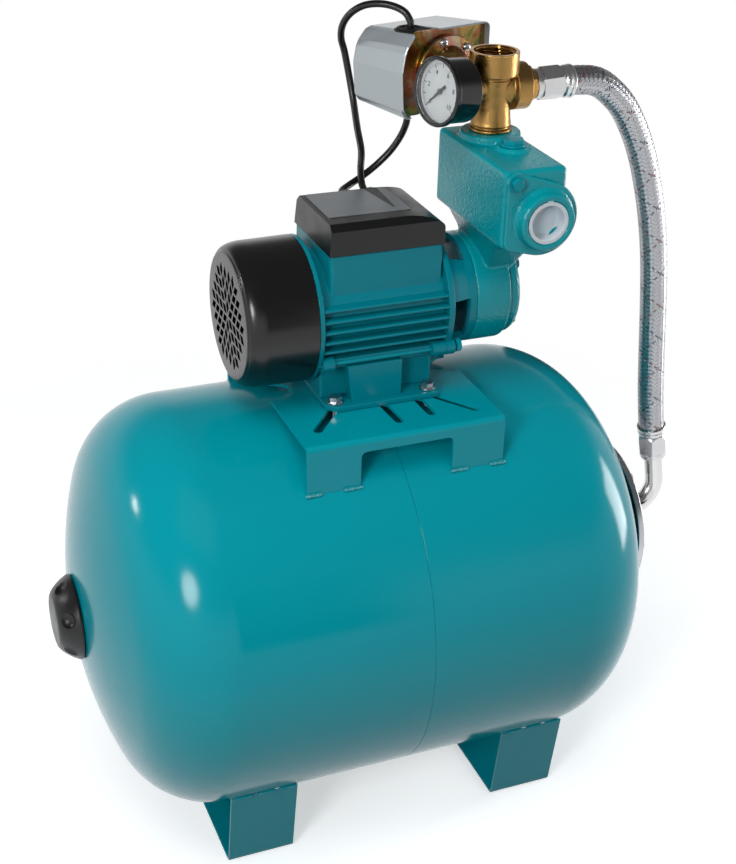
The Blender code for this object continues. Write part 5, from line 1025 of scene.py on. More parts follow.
def platform():
    top, half, low, bend = PLATE_TOP, PLATE_HALF, 126.0, 4.5
    outside = arc((half - bend, top - bend), bend, 90, 0, 10)
    inside = arc((half - bend, top - bend), bend - 3, 0, 90, 6)
    side = outside + [(half, low), (half - 3, low)] + inside
    outline = side + [(-y, z) for y, z in side[::-1]]
    sheet = prism(outline, PLATE_LEFT, PLATE_RIGHT, to_yz)
    window = box((PLATE_LEFT + 46, -half - 5, low - 5), (PLATE_RIGHT - 46, half + 5, top - 11))
    window = bevelled(window, 5, 5, 60)
    body = rod(tank_round, PLATE_LEFT - 10, PLATE_RIGHT + 10, 320, tank_axis)
    tools = []
    for sign in (-1, 1):
        for x1, y1, x2, y2 in ((3, 56, 4.5, 85), (34, 56, 34.5, 81), (-37, 47.5, -63.5, 80),
                               (45, 47.5, 72, 86)):
            tools.append(slot_cutter(x1, sign * y1, x2, sign * y2, top - 5, top + 2))
    for edge, inward in ((PLATE_LEFT, 1), (PLATE_RIGHT, -1)):
        notch = [(edge - inward * 4, -17), (edge + inward * 6, -17), (edge + inward * 22, -6),
                 (edge + inward * 22, 6), (edge + inward * 6, 17), (edge - inward * 4, 17)]
        tools.append(prism(eased(notch, 4, 5, True), top - 5, top + 2))
    return bevelled(cut(cut(sheet, window, body), merge(*tools)), 0.45, 3, 40)


piece("platform_sheet", platform(), paint, replaces=("motor_platform",))
beads = []
weld_z = sqrt(TANK_RADIUS ** 2 - PLATE_HALF ** 2)
for sign in (-1, 1):
    for n, (low, high) in enumerate(((PLATE_LEFT, PLATE_LEFT + 11),
                                     (PLATE_LEFT + 33, PLATE_LEFT + 46),
                                     (PLATE_RIGHT - 46, PLATE_RIGHT - 33),
                                     (PLATE_RIGHT - 11, PLATE_RIGHT))):
        y = sign * (PLATE_HALF + 0.8)
        beads.append(weld([(low, y, weld_z + 0.6), (high, y, weld_z + 0.6)], 2.0, n + 5))
piece("platform_welds", merge(*beads), weld_metal)
for number, (x, y) in enumerate([(x, sign * 47.5) for x in (-37, 45) for sign in (-1, 1)], 1):
    item = bolt_item(5.8, 4.2, 6.8, 1.6)
    shank = revolve([(-16, 0), (-16, 2.6), (-15.5, 3), (0.5, 3), (0.5, 0)], 32)
    item = merge(item, shank)
    item.data.transform(Matrix.Translation((x, y,
                                            PLATE_TOP + 5.3)) @ Matrix.Rotation(0.4 * number, 4,
                                                                                "Z"))
    piece(f"foot_bolt_{number}_dressed", item, zinc, replaces=(f"foot_bolt_{number}",))
print("platform", PLATE_RIGHT - PLATE_LEFT, "by", 2 * PLATE_HALF, "mm")

# %% [markdown]
# ## The motor
#
# The housing is one die casting. Its fins all end on one cylinder, so the reach of a fin at
# height z is the square root of R squared minus z squared. The tree below places a slab for each
# fin and stretches it by that rule, and the casting round them is a barrel, a pedestal with pads
# and the base of the terminal box.

# %% Cooling fins tree
fin_tree = Tree("cooling_fins", [("Count", "Int"), ("First", "Float"), ("Pitch", "Float"),
                                 ("Radius", "Float"), ("Item reach", "Float"),
                                 ("Material", "Material")])
fin_drop = fin_tree.put("ShaderNodeCombineXYZ",
                        {"Z": fin_tree.math("MULTIPLY", fin_tree.give("Pitch"), -1.0)})
fin_start = fin_tree.put("ShaderNodeCombineXYZ", {"Z": fin_tree.give("First")})
fin_line = fin_tree.put("GeometryNodeMeshLine", {"Count": fin_tree.give("Count"),
                                                 "Start Location": fin_start.outputs[0],
                                                 "Offset": fin_drop.outputs[0]})
fin_z = fin_tree.put("ShaderNodeSeparateXYZ",
                     {0: fin_tree.put("GeometryNodeInputPosition").outputs[0]}).outputs["Z"]
fin_square = fin_tree.math("SUBTRACT", fin_tree.math("MULTIPLY", fin_tree.give("Radius"),
                                                     fin_tree.give("Radius")),
                           fin_tree.math("MULTIPLY", fin_z, fin_z))
fin_reach = fin_tree.math("DIVIDE", fin_tree.math("SQRT", fin_square), fin_tree.give("Item reach"))
fin_scale = fin_tree.put("ShaderNodeCombineXYZ", {"X": 1.0, "Y": fin_reach, "Z": 1.0})
fin_items = fin_tree.put("GeometryNodeInstanceOnPoints", {"Points": fin_line.outputs[0],
                                                          "Instance": fin_tree.give("Geometry"),
                                                          "Scale": fin_scale.outputs[0]})
fin_tree.done(fin_items.outputs[0])

# %% Motor casting
MOTOR_LEFT, MOTOR_RIGHT = -50.0, 58.0
BASE_LEFT, BASE_RIGHT, BASE_HALF, BASE_TOP = -41.0, 58.0, 42.5, 57.0
TIE_Y, TIE_Z = 49.0, -31.0


def tapered_box(low, high, lean, radius, steps=6):
    """An upright box with round corners whose sides lean inwards by lean at the top."""
    rings = []
    for z, shrink in ((low[2], 0.0), (high[2], lean)):
        corners = [(low[0] + shrink, low[1] + shrink), (high[0] - shrink, low[1] + shrink),
                   (high[0] - shrink, high[1] - shrink), (low[0] + shrink, high[1] - shrink)]
        rings.append([(x, y, z) for x, y in eased(corners, radius, steps, True)])
    count = len(rings[0])
    faces = [list(range(count))[::-1], list(range(count, 2 * count))]
    faces += [[k, (k + 1) % count, count + (k + 1) % count, count + k] for k in range(count)]
    return mesh_object(rings[0] + rings[1], faces)


BARREL_RADIUS = 49


def motor_casting():
    slab = prism(eased([(MOTOR_LEFT, -50), (MOTOR_RIGHT, -50), (MOTOR_RIGHT, 50), (MOTOR_LEFT, 50)],
                       1.2, 4, True), -1.3, 1.3)
    slab = bevelled(slab, 0.9, 3, 50)
    fins = grown(slab, fin_tree, {"Count": 7, "First": 17.0, "Pitch": 9.0, "Radius": 58.0,
                                  "Item reach": 50.0, "Material": paint})
    fins.data.transform(Matrix.Translation((0, 0, SHAFT_Z)))
    barrel = revolve([(MOTOR_LEFT, 0), (MOTOR_LEFT, BARREL_RADIUS), (MOTOR_RIGHT, BARREL_RADIUS),
                      (MOTOR_RIGHT, 0)], 160, shaft_axis)
    base = tapered_box((BASE_LEFT, -BASE_HALF, SHAFT_Z + 10),
                       (BASE_RIGHT, BASE_HALF, SHAFT_Z + BASE_TOP), 0.6, 5)
    base = bevelled(base, 0.8, 3, 60)
    pads = prism(eased([(-38.3, -57), (51.2, -57), (53.2, -55), (53.2, 55), (51.2, 57), (-38.3, 57),
                        (-46.3, 49), (-46.3, -49)], 2, 4, True), PLATE_TOP + GAP, PLATE_TOP + 5)
    pads = bevelled(pads, 0.9, 3, 60)
    pedestal = box((-46.3, -36, PLATE_TOP + 4), (53.2, 36, SHAFT_Z - 36))
    pedestal = bevelled(pedestal, 2.5, 4, 60)
    panel = prism(eased([(-23, PLATE_TOP + 4), (21, PLATE_TOP + 4), (21, PLATE_TOP + 37),
                         (-27, PLATE_TOP + 37)], 2, 4, True), -50, 50, to_xz)
    panel = bevelled(panel, 1.2, 3, 60)
    lugs = []
    for sign in (-1, 1):
        for low, high in ((MOTOR_LEFT, MOTOR_LEFT + 10), (MOTOR_RIGHT - 12, MOTOR_RIGHT)):
            lugs.append(rod(6.5, low, high, 40,
                            shaft_axis @ Matrix.Translation((TIE_Z, sign * TIE_Y, 0))))
    bore = rod(42.3, MOTOR_LEFT - 5, MOTOR_RIGHT + 5, 96, shaft_axis)
    hollow = box((BASE_LEFT + 4, -BASE_HALF + 4, SHAFT_Z + 45),
                 (BASE_RIGHT - 4, BASE_HALF - 4, SHAFT_Z + 62))
    shape = join(barrel, fins, base, pads, pedestal, panel, *lugs)
    return cut(shape, bore, hollow)


piece("motor_casting", motor_casting(), fine_cast_paint, replaces=("motor_housing",),
      smooth=38)
shield = revolve([(-54, 7.5), (-54, 60), (-50.3, 60), (-50.3, 20.3), (-34, 20.3), (-34, 16.3),
                  (-44.3, 16.3), (-44.3, 7.5)], 160, shaft_axis, True, 0.7)
piece("end_shield", shield, fine_cast_paint, replaces=("rear_end_shield",))
for name, sign in (("tie_bolt_front", -1), ("tie_bolt_rear", 1)):
    item = merge(bolt_item(6.0, 4.2, 0), revolve([(-121, 0), (-121, 2.5), (1, 2.5), (1, 0)], 24))
    item.data.transform(frame_on((68.3, sign * TIE_Y, SHAFT_Z + TIE_Z), X_AXIS))
    piece(name + "_dressed", item, sheet_paint, replaces=(name,))


# %% Terminal lid with its bare plate and screws
LID_LOW = SHAFT_Z + BASE_TOP + GAP
LID_HEIGHT, LID_LOW_END, LID_SLOPE = 25.0, 14.0, 34.0
LID_TOP = LID_LOW + LID_HEIGHT


def lid_line(steps):
    """The lid's top along X: flat, then a quarter ellipse down to the low end."""
    flat = BASE_RIGHT - LID_SLOPE
    return [(flat + LID_SLOPE * sin(k / steps * pi / 2),
             LID_LOW + LID_LOW_END + (LID_HEIGHT - LID_LOW_END) * cos(k / steps * pi / 2))
            for k in range(steps + 1)]


def lid():
    outline = [(BASE_LEFT, LID_LOW),
               (BASE_RIGHT, LID_LOW)] + lid_line(28)[::-1] + [(BASE_LEFT + 2, LID_TOP)]
    shape = prism(outline, -BASE_HALF, BASE_HALF, to_xz)
    slopes = []
    for sign in (-1, 1):
        wedge = [(sign * (BASE_HALF + 5), LID_LOW - 5), (sign * (BASE_HALF + 5), LID_TOP + 5),
                 (sign * (BASE_HALF - 6.6), LID_TOP + 5), (sign * (BASE_HALF - 6.6), LID_TOP),
                 (sign * (BASE_HALF - 1.2), LID_TOP - 5), (sign * BASE_HALF, LID_LOW),
                 (sign * BASE_HALF, LID_LOW - 5)]
        slopes.append(prism(wedge, BASE_LEFT - 5, BASE_RIGHT + 5, to_yz))
    return bevelled(cut(shape, *slopes), 2.0, 4, 26)


def pan_head(head, height):
    """A domed cross-recess head that stands on local z = 0."""
    dome = [(0, 0), (0, head)] + [(height * sin(radians(a)), head * cos(radians(a)) ** 0.7)
                                  for a in range(8, 90, 9)] + [(height, 0)]
    bars = [box((-head * 0.55, -head * 0.12, height * 0.35),
                (head * 0.55, head * 0.12, height + 1)),
            box((-head * 0.12, -head * 0.55, height * 0.35),
                (head * 0.12, head * 0.55, height + 1))]
    return cut(revolve(dome, 48), join(*bars))


def screw(place, head, height, material, name):
    shape = pan_head(head, height)
    shape.data.transform(place)
    return piece(name, shape, material)


piece("lid", lid(), black_plastic, replaces=("terminal_lid",), smooth=30)
label = prism(eased([(-35, -22), (36, -22), (36, 35), (-35, 35)], 2.5, 5, True), 0.02, 0.45)
for vertex in label.data.vertices:
    x = vertex.co.x
    line = [(-80.0, LID_TOP)] + lid_line(40)
    for (x1, z1), (x2, z2) in zip(line, line[1:]):
        if x1 <= x <= x2:
            vertex.co.z += z1 + (z2 - z1) * (x - x1) / (x2 - x1)
            break
piece("bare_plate", label, plate_silver)
screw(Matrix.Translation((13, -35.0, LID_TOP - 2.6)) @ Matrix.Rotation(radians(42), 4, "X"), 3.4,
      2.0, black_plastic, "lid_screw_front")
screw(Matrix.Translation((15, 38.0, LID_TOP - 4.0)) @ Matrix.Rotation(radians(-42), 4, "X"), 3.4,
      2.0, black_plastic, "lid_screw_rear")

glands = []
for x in GLAND_X:
    axis = frame_on((x, BASE_HALF, GLAND_Z), Y_AXIS)
    glands.append(revolve([(0, 2.9), (0, 8.6), (1.2, 8.6), (1.2, 8), (8, 8), (9, 7.9), (12, 7.0),
                           (14.4, 5.2), (15, 4.4), (15, 2.9)], 48, axis, True, 0.35))
    ribs = round_circle(bevelled(box((-0.5, -0.45, 1.6), (0.6, 0.45, 8.2)), 0.2, 2, 60), 18, 8.0,
                        0.0, black_plastic, axis)
    glands.append(ribs)
piece("glands", merge(*glands), black_plastic, replaces=("cable_glands",))


# %% [markdown]
# ## Fan and cover
#
# The cover is a drawn cup whose end is pierced with lozenges in six sectors. A sector has two
# directions, sixty degrees apart, so each slot is a parallelogram on a skewed grid, and straight
# webs are left where sectors meet. The pattern is cut as one tool, and the fan shows behind it.

# %% Fan cover and fan
def grille(low, high):
    tools = []
    pitch, web, rows = 10.2, 2.2, 4
    shrink = web / 2 / sin(radians(60))
    for sector in range(6):
        first = radians(60 * sector + 30)
        one = Vector((cos(first), sin(first)))
        two = Vector((cos(first + pi / 3), sin(first + pi / 3)))
        for i in range(rows):
            for j in range(rows - i):
                outline = []
                for a, c in ((shrink, shrink), (pitch - shrink, shrink),
                             (pitch - shrink, pitch - shrink), (shrink, pitch - shrink)):
                    point = one * (i * pitch + a) + two * (j * pitch + c)
                    outline.append((point.x, point.y))
                tools.append(prism(eased(outline, 0.8, 3, True), low, high, shaft_axis))
    return merge(*tools)


def cover():
    start, end = -54.3, -112.6
    shoulder = end + 18
    outer = [(start, 59.6), (start - 0.5, 60.1), (shoulder, 59.7)]
    outer += [(shoulder - 16.5 * sin(pi / 2 * k / 22), 53.3 + 6.4 * cos(pi / 2 * k / 22))
              for k in range(1, 22)]
    outer += [(end + 0.9, 53.2), (end + 0.3, 52.6), (end, 51.4), (end, 0)]
    inner = [(end + 1.6, 0), (end + 1.6, 51.2), (shoulder, 58.1), (start, 58.5)]
    shape = revolve(inner + outer, 192, shaft_axis)
    return bevelled(cut(shape, grille(end - 2, end + 4)), 0.3, 2, 40)


piece("cover_cup", cover(), black_enamel, replaces=("fan_cover",), smooth=40)


def fan():
    hub = revolve([(-82.3, 6.3), (-82.3, 12), (-68.3, 14), (-68.3, 46), (-66.3, 46), (-66.3, 6.3)],
                  96, shaft_axis, True, 0.5)
    blades = []
    for k in range(7):
        turn = shaft_axis @ Matrix.Rotation(2 * pi * k / 7, 4, "Z")
        blades.append(bevelled(prism([(10, -1.1), (45, -1.1), (45, 1.1), (10, 1.1)], -84.3, -67.3,
                                     turn), 0.4, 2, 50))
    return join(hub, *blades)


piece("fan_wheel", fan(), black_plastic, body=ROTOR, replaces=("cooling_fan",))
shaft = revolve([(-86.3, 0), (-86.3, 6), (-34, 6), (-34, 8), (63, 8), (63, 6), (113, 6), (113, 0)],
                64, shaft_axis, False, 0.5)
piece("shaft_bar", shaft, steel, body=ROTOR, replaces=("rotor_shaft",))
slinger = revolve([(75, 6.3), (75, 9), (77, 9), (77, 17), (79, 17), (79, 6.3)], 64,
                  shaft_axis, True, 0.4)
piece("slinger_disc", slinger, rubber, body=ROTOR, replaces=("slinger_ring",))


# %% [markdown]
# ## Bracket and pump casting
#
# The pump's head is a sand casting: its faces are never quite flat and all its inner corners are
# filled. It is therefore joined from plain bodies and rebuilt on a one-millimetre grid, whose
# smoothing gives the fillets that a bevel could not.

# %% Bracket and pump casting
def lantern():
    profile = [(58.3, 16.3), (58.3, 57), (63.3, 57), (64.8, 52), (80, 47), (88, 47), (88, 11),
               (84, 11), (84, 41), (63.3, 43), (63.3, 20.3), (75.3, 20.3), (75.3, 16.3)]
    shape = revolve(profile, 160, shaft_axis, True, 0.8)
    tools = []
    for k in range(4):
        centre = 15 + 90 * k
        outline = arc((0, 0), 67, centre - 24, centre + 24, 16)
        outline += arc((0, 0), 23.6, centre + 28, centre - 28, 16)
        tools.append(prism(outline, 66, 81.8, shaft_axis))
    lugs = [rod(6.5, 58.3, 68, 40, shaft_axis @ Matrix.Translation((TIE_Z, sign * TIE_Y, 0)))
            for sign in (-1, 1)]
    return bevelled(cut(join(shape, *lugs), merge(*tools)), 0.6, 3, 40)


piece("bracket", lantern(), fine_cast_paint, replaces=("pump_lantern",))


def loft(sections):
    vertices = []
    for x1, x2, y1, y2, z in sections:
        vertices += [(x1, y1, z), (x2, y1, z), (x2, y2, z), (x1, y2, z)]
    faces = [[3, 2, 1, 0], [len(vertices) - 4 + k for k in range(4)]]
    for row in range(len(sections) - 1):
        for k in range(4):
            a, c = row * 4 + k, row * 4 + (k + 1) % 4
            faces.append([a, c, c + 4, a + 4])
    return mesh_object(vertices, faces)


suction_axis = frame_on((117, 0, 349.3), -Y_AXIS)


SUCTION_BOLTS = {"suction_bolt_high": (91.5, 381.0), "suction_bolt_low": (129.5, 335.0)}


def hull(points):
    """The convex outline of flat points, in order."""
    ordered = sorted(points)
    chains = []
    for line in (ordered, ordered[::-1]):
        chain = []
        for point in line:
            while len(chain) > 1:
                (x1, y1), (x2, y2) = chain[-2:]
                if (x2 - x1) * (point[1] - y1) - (y2 - y1) * (point[0] - x1) > 1e-9:
                    break
                chain.pop()
            chain.append(point)
        chains.append(chain[:-1])
    return chains[0] + chains[1]


def casing():
    volute = revolve([(88.3, 0), (88.3, 46), (89.3, 47), (119.5, 47), (119.5, 0)], 160, shaft_axis)
    ledge = bevelled(box((99, -39.5, SHAFT_Z + 10), (119.5, -20, SHAFT_Z + 27)), 1.5, 3, 60)
    neck = bevelled(loft([(100, 125, -36, 11, SHAFT_Z + 24), (100, 125, -38, 11, SHAFT_Z + 30),
                          (93, 131, -56, 14, 312), (85, 137.5, -85, 25, 331),
                          (85, 137.5, -86, 27, 337)]), 3.0, 4, 40)
    chamber = bevelled(box((84, -88.5, 325), (138.5, 38, 388.5)), 4.0, 5, 60)
    boss = revolve([(375, 0), (375, 25), (393.3, 25), (394.5, 23.8), (394.5, 0)], 96, port_axis)
    priming = revolve([(375, 0), (375, 13.5), (390.5, 13.5), (391.5, 12.5), (391.5, 0)], 64,
                      Matrix.Translation((116, -36, 0)))
    shape = join(chamber, neck, volute, ledge, boss, priming)
    shape = cast(shape, 0.95, 7, 0.5)
    wheel = rod(36.2, 100.5, 124.5, 96, shaft_axis)
    lid_seat = rod(44.5, 119.5, 139.5, 128, shaft_axis)
    thread_hole = rod(16.7, 376, 403, 96, port_axis)
    inlet = rod(15.6, 66, 90, 96, suction_axis)
    seal = rod(8.0, 83, 105, 48, shaft_axis)
    return cut(shape, lid_seat, wheel, thread_hole, inlet, seal)


piece("head_casting", casing(), cast_paint, replaces=("pump_casing",), smooth=50)
cover_plate = revolve([(119.8, 0), (119.8, 43.5), (126.5, 43.5), (129.3, 42.3), (130.5, 39.5),
                       (130.5, 16), (128.5, 14), (128.5, 0)], 128, shaft_axis, False, 0.7)
piece("cover_plate", cover_plate, cast_paint, replaces=("pump_cover",))
bolts = round_circle(bolt_item(5.0, 3.4, 0), 4, 35.0, radians(45), sheet_paint,
                     frame_on((130.3, 0, SHAFT_Z), X_AXIS))
piece("cover_bolts", bolts, sheet_paint)

# %% Suction flange, its bolts and plug, and the priming plug
low, face, front = 88.8, 94.0, 101.6
corners = []
for x, z, radius in ((117, 349.3, 30.0), (92.3, 380.5, 7.8), (91.0, 331.8, 6.5)):
    corners += [(z - 349.3 + a, 117 - x + c) for a, c in circle(radius, 72)]
shape = bevelled(prism(hull(corners), low, face, suction_axis), 1.6, 5, 40)
tube = revolve([(low + 1, 0), (low + 1, 26.5), (face, 26.5), (face + 1.2, 24.6), (face + 3.5, 23.6),
                (front + 1.0, 22.9), (front + 2.2, 21.7), (front + 2.2, 18.6), (front + 0.6, 17.4),
                (front, 0)], 128, suction_axis, False, 0.9)
core_hole = rod(15.6, low - 5, front + 8, 96, suction_axis)
shape = cut(join(shape, tube), core_hole)
piece("inlet_flange", shape, cast_paint, replaces=("suction_flange",), smooth=50)
for name, (x, z) in SUCTION_BOLTS.items():
    item = bolt_item(5.4, 4.0, 7.2, 0.8, 0.3)
    item.data.transform(frame_on((x, -face - 0.1, z), -Y_AXIS) @ Matrix.Rotation(0.3, 4, "Z"))
    piece(name + "_dressed", item, sheet_paint, replaces=(name,))
cup = revolve([(front - 13, 0), (front - 13, 15.3), (front - 2, 15.3), (front + 0.3, 16.9),
               (front + 1.8, 17.4), (front + 1.8, 14.1), (front - 11.8, 14.1), (front - 11.8, 0)],
              96, suction_axis, False, 0.5)
tab = rod(2.2, front + 0.5, front + 1.8, 32, suction_axis @ Matrix.Translation((18.0, 0, 0)))
shape = piece("plug_cup", join(cup, tab), milky, body="suction_plug_body",
              replaces=("suction_plug",))
place = Matrix.Translation((116, -36, 0))
stem = revolve([(383, 0), (383, 8), (391.8, 8), (391.8, 10.6), (393.3, 10.6), (393.3, 0)], 64,
               place, False, 0.4)
head = bevelled(prism(circle(9.5, 6, 0.2), 392.8, 397.3, place), 0.7, 3, 30)
piece("filler_plug", merge(stem, head), sheet_paint, body="priming_plug_body",
      replaces=("priming_plug",))
print("pump head done")


# %% [markdown]
# ## Brass fitting, gauge and switch
#
# Brass is bought hot-pressed and machined only where it seals, so its faces alternate between
# grainy and bright. Its threads are true helices: the radius of each point follows its height
# and its angle together.

# %% Fitting, threads and nipple
def thread(radius, depth, pitch, low, high, matrix, sides=96, rows=8):
    """A helical thread surface about local Z, fading out at both ends."""
    count = max(2, round((high - low) / pitch * rows))
    vertices = []
    for row in range(count + 1):
        z = low + (high - low) * row / count
        fade = min(1.0, row / rows, (count - row) / rows)
        for k in range(sides):
            turn = (z / pitch - k / sides) % 1.0
            wave = abs(2 * turn - 1)
            r = radius + depth * fade * min(1.0, max(0.0, 1.3 * wave - 0.15))
            vertices.append((r * cos(2 * pi * k / sides), r * sin(2 * pi * k / sides), z))
    faces = [[row * sides + k, row * sides + (k + 1) % sides, (row + 1) * sides + (k + 1) % sides,
              (row + 1) * sides + k] for row in range(count) for k in range(sides)]
    return mesh_object(vertices, faces, matrix)


def fitting():
    lip, side, top = 394.8, SIDE_Z, 459.0
    profile = [(387, 0), (387, 16.4), (lip, 16.4), (lip, 17.4), (lip + 2.5, 17.4), (lip + 3, 15.6),
               (lip + 4.5, 15.6), (lip + 5, 16.6), (lip + 8, 16.0), (side - 14, 14.8),
               (side - 4, 15.1), (side + 4, 16.0), (side + 8, 16.7), (side + 9, 15.8),
               (side + 10.5, 15.8), (side + 11.5, 20.0), (top, 20.0), (top, 0)]
    body = revolve(profile, 128, port_axis, False, 0.6)
    socket_axis = frame_on((0, 0, side), X_AXIS)
    socket = revolve([(PORT_X + 3, 0), (PORT_X + 3, 14.5), (126, 14.9), (128, 19.0), (141, 19.0),
                      (141, 0)], 128, socket_axis, False, 0.6)
    small = [revolve([(5, 0), (5, 8.5), (23.5, 8.5), (23.5, 0)], 64, axis, False, 0.5)
             for axis in (gauge_axis, switch_axis)]
    shape = cast(join(body, socket, *small), 0.5, 4, 0.5)
    place = port_axis @ Matrix.Rotation(0.05, 4, "Z")
    mouth = rod(17.3, top - 14, top + 5, 96, place)
    bore = rod(12.3, 382, top - 12, 96, place)
    return cut(shape, bore, mouth)


piece("fitting_body", fitting(), brass, replaces=("five_way_fitting",), smooth=50)
rim = ring(17.0, 20.03, 457.6, 459.05, 96, port_axis, 0.35)
inner_thread = thread(16.0, 1.4, 2.3, 445.5, 458.8, port_axis, 96, 8)
piece("top_thread", merge(inner_thread, rim), turned_brass)
nipple_axis = frame_on((0, 0, SIDE_Z), X_AXIS)
stem = revolve([(131.3, 8), (131.3, 11), (142, 11), (142, 13), (148.7, 12), (148.7, 8)], 64,
               nipple_axis, True, 0.4)
head = bolt_item(15.5, 5.0)
head.data.transform(nipple_axis @ Matrix.Translation((0, 0, 141.3)))
piece("nipple", merge(stem, head), turned_brass, replaces=("hose_nipple",))

# %% [markdown]
# The gauge's zero lies 132 degrees to the left of the top, and its scale goes round clockwise.
# Marks are placed by the circle tree; digits are plain and generic.

# %% Gauge
stem = revolve([(18.5, 0), (18.5, 3.9), (34, 3.9), (34, 0)], 40, gauge_axis)
head = bolt_item(8.0, 6.9)
head.data.transform(gauge_axis @ Matrix.Translation((0, 0, 23.8)))
piece("gauge_connection", merge(stem, head), turned_brass, replaces=("gauge_stem",))
case = revolve([(31, 4.5), (31, 22.5), (33.5, 25.5), (59, 25.5), (59, 25.0), (32.8, 24.6),
                (32.8, 4.5)], 128, gauge_axis, True, 0.8)
piece("gauge_can", case, gauge_black, replaces=("gauge_case",), smooth=40)
bezel = revolve([(56, 25.8), (56, 27), (56.4, 27.4), (59.2, 27.4), (60, 26.6), (60, 24.5),
                 (59.3, 24.3), (59.3, 25.8)], 128, gauge_axis, True, 0.35)
piece("gauge_rim", bezel, gauge_black, replaces=("gauge_bezel",))
dial = ring(1.6, 24.5, 53, 54, 128, gauge_axis, 0.1)
piece("dial", dial, dial_white, replaces=("gauge_dial",))
SWEEP = radians(264)
marks = []
for count, inner, outer, width in ((51, 20.1, 21.7, 0.32), (11, 18.6, 21.7, 0.8)):
    item = box((0, -width / 2, 0), (outer - inner, width / 2, 0.06))
    marks.append(round_circle(item, count, inner, -SWEEP / 2, print_black,
                              gauge_axis @ Matrix.Translation((0, 0, 54.01)),
                              SWEEP * count / (count - 1)))
band = []
for k in range(121):
    angle = -SWEEP / 2 + SWEEP * k / 120
    band.append((21.7 * cos(angle), 21.7 * sin(angle), 54.03))
marks.append(sweep([gauge_axis @ Vector(p) for p in band], 0.11, 6))
text_frame = Matrix(((0, 1, 0, 0), (-1, 0, 0, 0), (0, 0, 1, 0), (0, 0, 0, 1)))


def words(text, size, x, y, height, axis):
    """Flat printed figures, their middle at (right, up) on a dial whose local X is up."""
    data = bpy.data.curves.new("figures", "FONT")
    data.body = text
    data.size = size
    data.align_x = "CENTER"
    data.align_y = "CENTER"
    data.resolution_u = 4
    data.extrude = 0.02
    data.offset = 0.09
    made = bpy.data.objects.new("figures", data)
    bpy.context.scene.collection.objects.link(made)
    made = applied(made)
    made.data.transform(axis @ text_frame @ Matrix.Translation((x, y, height)))
    return made


for value in range(0, 11, 2):
    angle = SWEEP / 2 - SWEEP * value / 10
    marks.append(words(str(value), 5.4, -15.2 * sin(angle), 15.2 * cos(angle), 54.04, gauge_axis))
piece("dial_print", merge(*marks), print_black, weighted=False)
lens = revolve([(57.6, 0), (57.6, 24.7), (58.9, 24.7), (59.0, 24.5), (59.0, 0)], 128, gauge_axis)
piece("lens", lens, glass, replaces=("gauge_lens",))
turn = gauge_axis @ Matrix.Rotation(radians(132), 4, "Z")
pointer = prism([(-8, -1.3), (3, -1.3), (18.6, -0.25), (18.6, 0.25), (3, 1.3),
                 (-8, 1.3)], 54.6, 55.2, turn)
pointer = bevelled(pointer, 0.1, 2, 50)
boss = revolve([(54.4, 0), (54.4, 2.4), (55.6, 2.4), (56, 1.8), (56.1, 0)], 40, gauge_axis)
spindle = rod(0.9, 45, 55, 20, gauge_axis)
piece("pointer", merge(pointer, boss, spindle), needle_black, body="gauge_needle_body",
      replaces=("gauge_needle",))
print("gauge: 51 marks, 6 figures")


# %% Pressure switch
COVER_FRONT, COVER_BACK, COVER_FALL = 55.0, 126.0, 9.0


def switch_outline(shrink=0.0):
    """(up, right), rounded most at the upper left."""
    bottom, left = -35 + shrink, -50 + shrink
    top, right = bottom + 72 - 2 * shrink, left + 92 - 2 * shrink
    return [(bottom, right), (top, right), (top, left + 17), (top - 2, left + 12),
            (top - 11, left + 5), (top - 17, left + 2.5), (top - 32, left), (bottom + 8, left + 2),
            (bottom, left + 7)]


def outline_box(low, high, shrink=0.0, corner=6.0, fall=COVER_FALL):
    """The outline drawn back along the switch's axis, with a top that falls towards the back."""
    shape = prism(eased(switch_outline(shrink), max(corner - shrink, 0.5), 8, True, 6), low, high)
    for vertex in shape.data.vertices:
        share = (vertex.co.z - COVER_FRONT) / (COVER_BACK - COVER_FRONT)
        vertex.co.x -= fall * share * (vertex.co.x + 35) / 72
    shape.data.transform(switch_axis)
    return shape


def switch_shell():
    outer = bevelled(outline_box(COVER_FRONT, COVER_BACK), 3.2, 6, 60)
    inner = bevelled(outline_box(50, COVER_BACK - 1.2, 1.2), 2.0, 4, 60)
    notches = []
    for z in (-45, 26):
        notch = [(GROMMET_SIDE + 13.5, 48), (GROMMET_SIDE + 13.5, GROMMET_BACK)]
        notch += arc((GROMMET_SIDE, GROMMET_BACK), 13.5, 5, 175, 28)
        notch += [(GROMMET_SIDE - 13.5, GROMMET_BACK), (GROMMET_SIDE - 13.5, 48)]
        notches.append(prism(notch, z, z + 18, switch_axis @ to_yz))
    return bevelled(cut(outer, inner, *notches), 0.25, 2, 50)


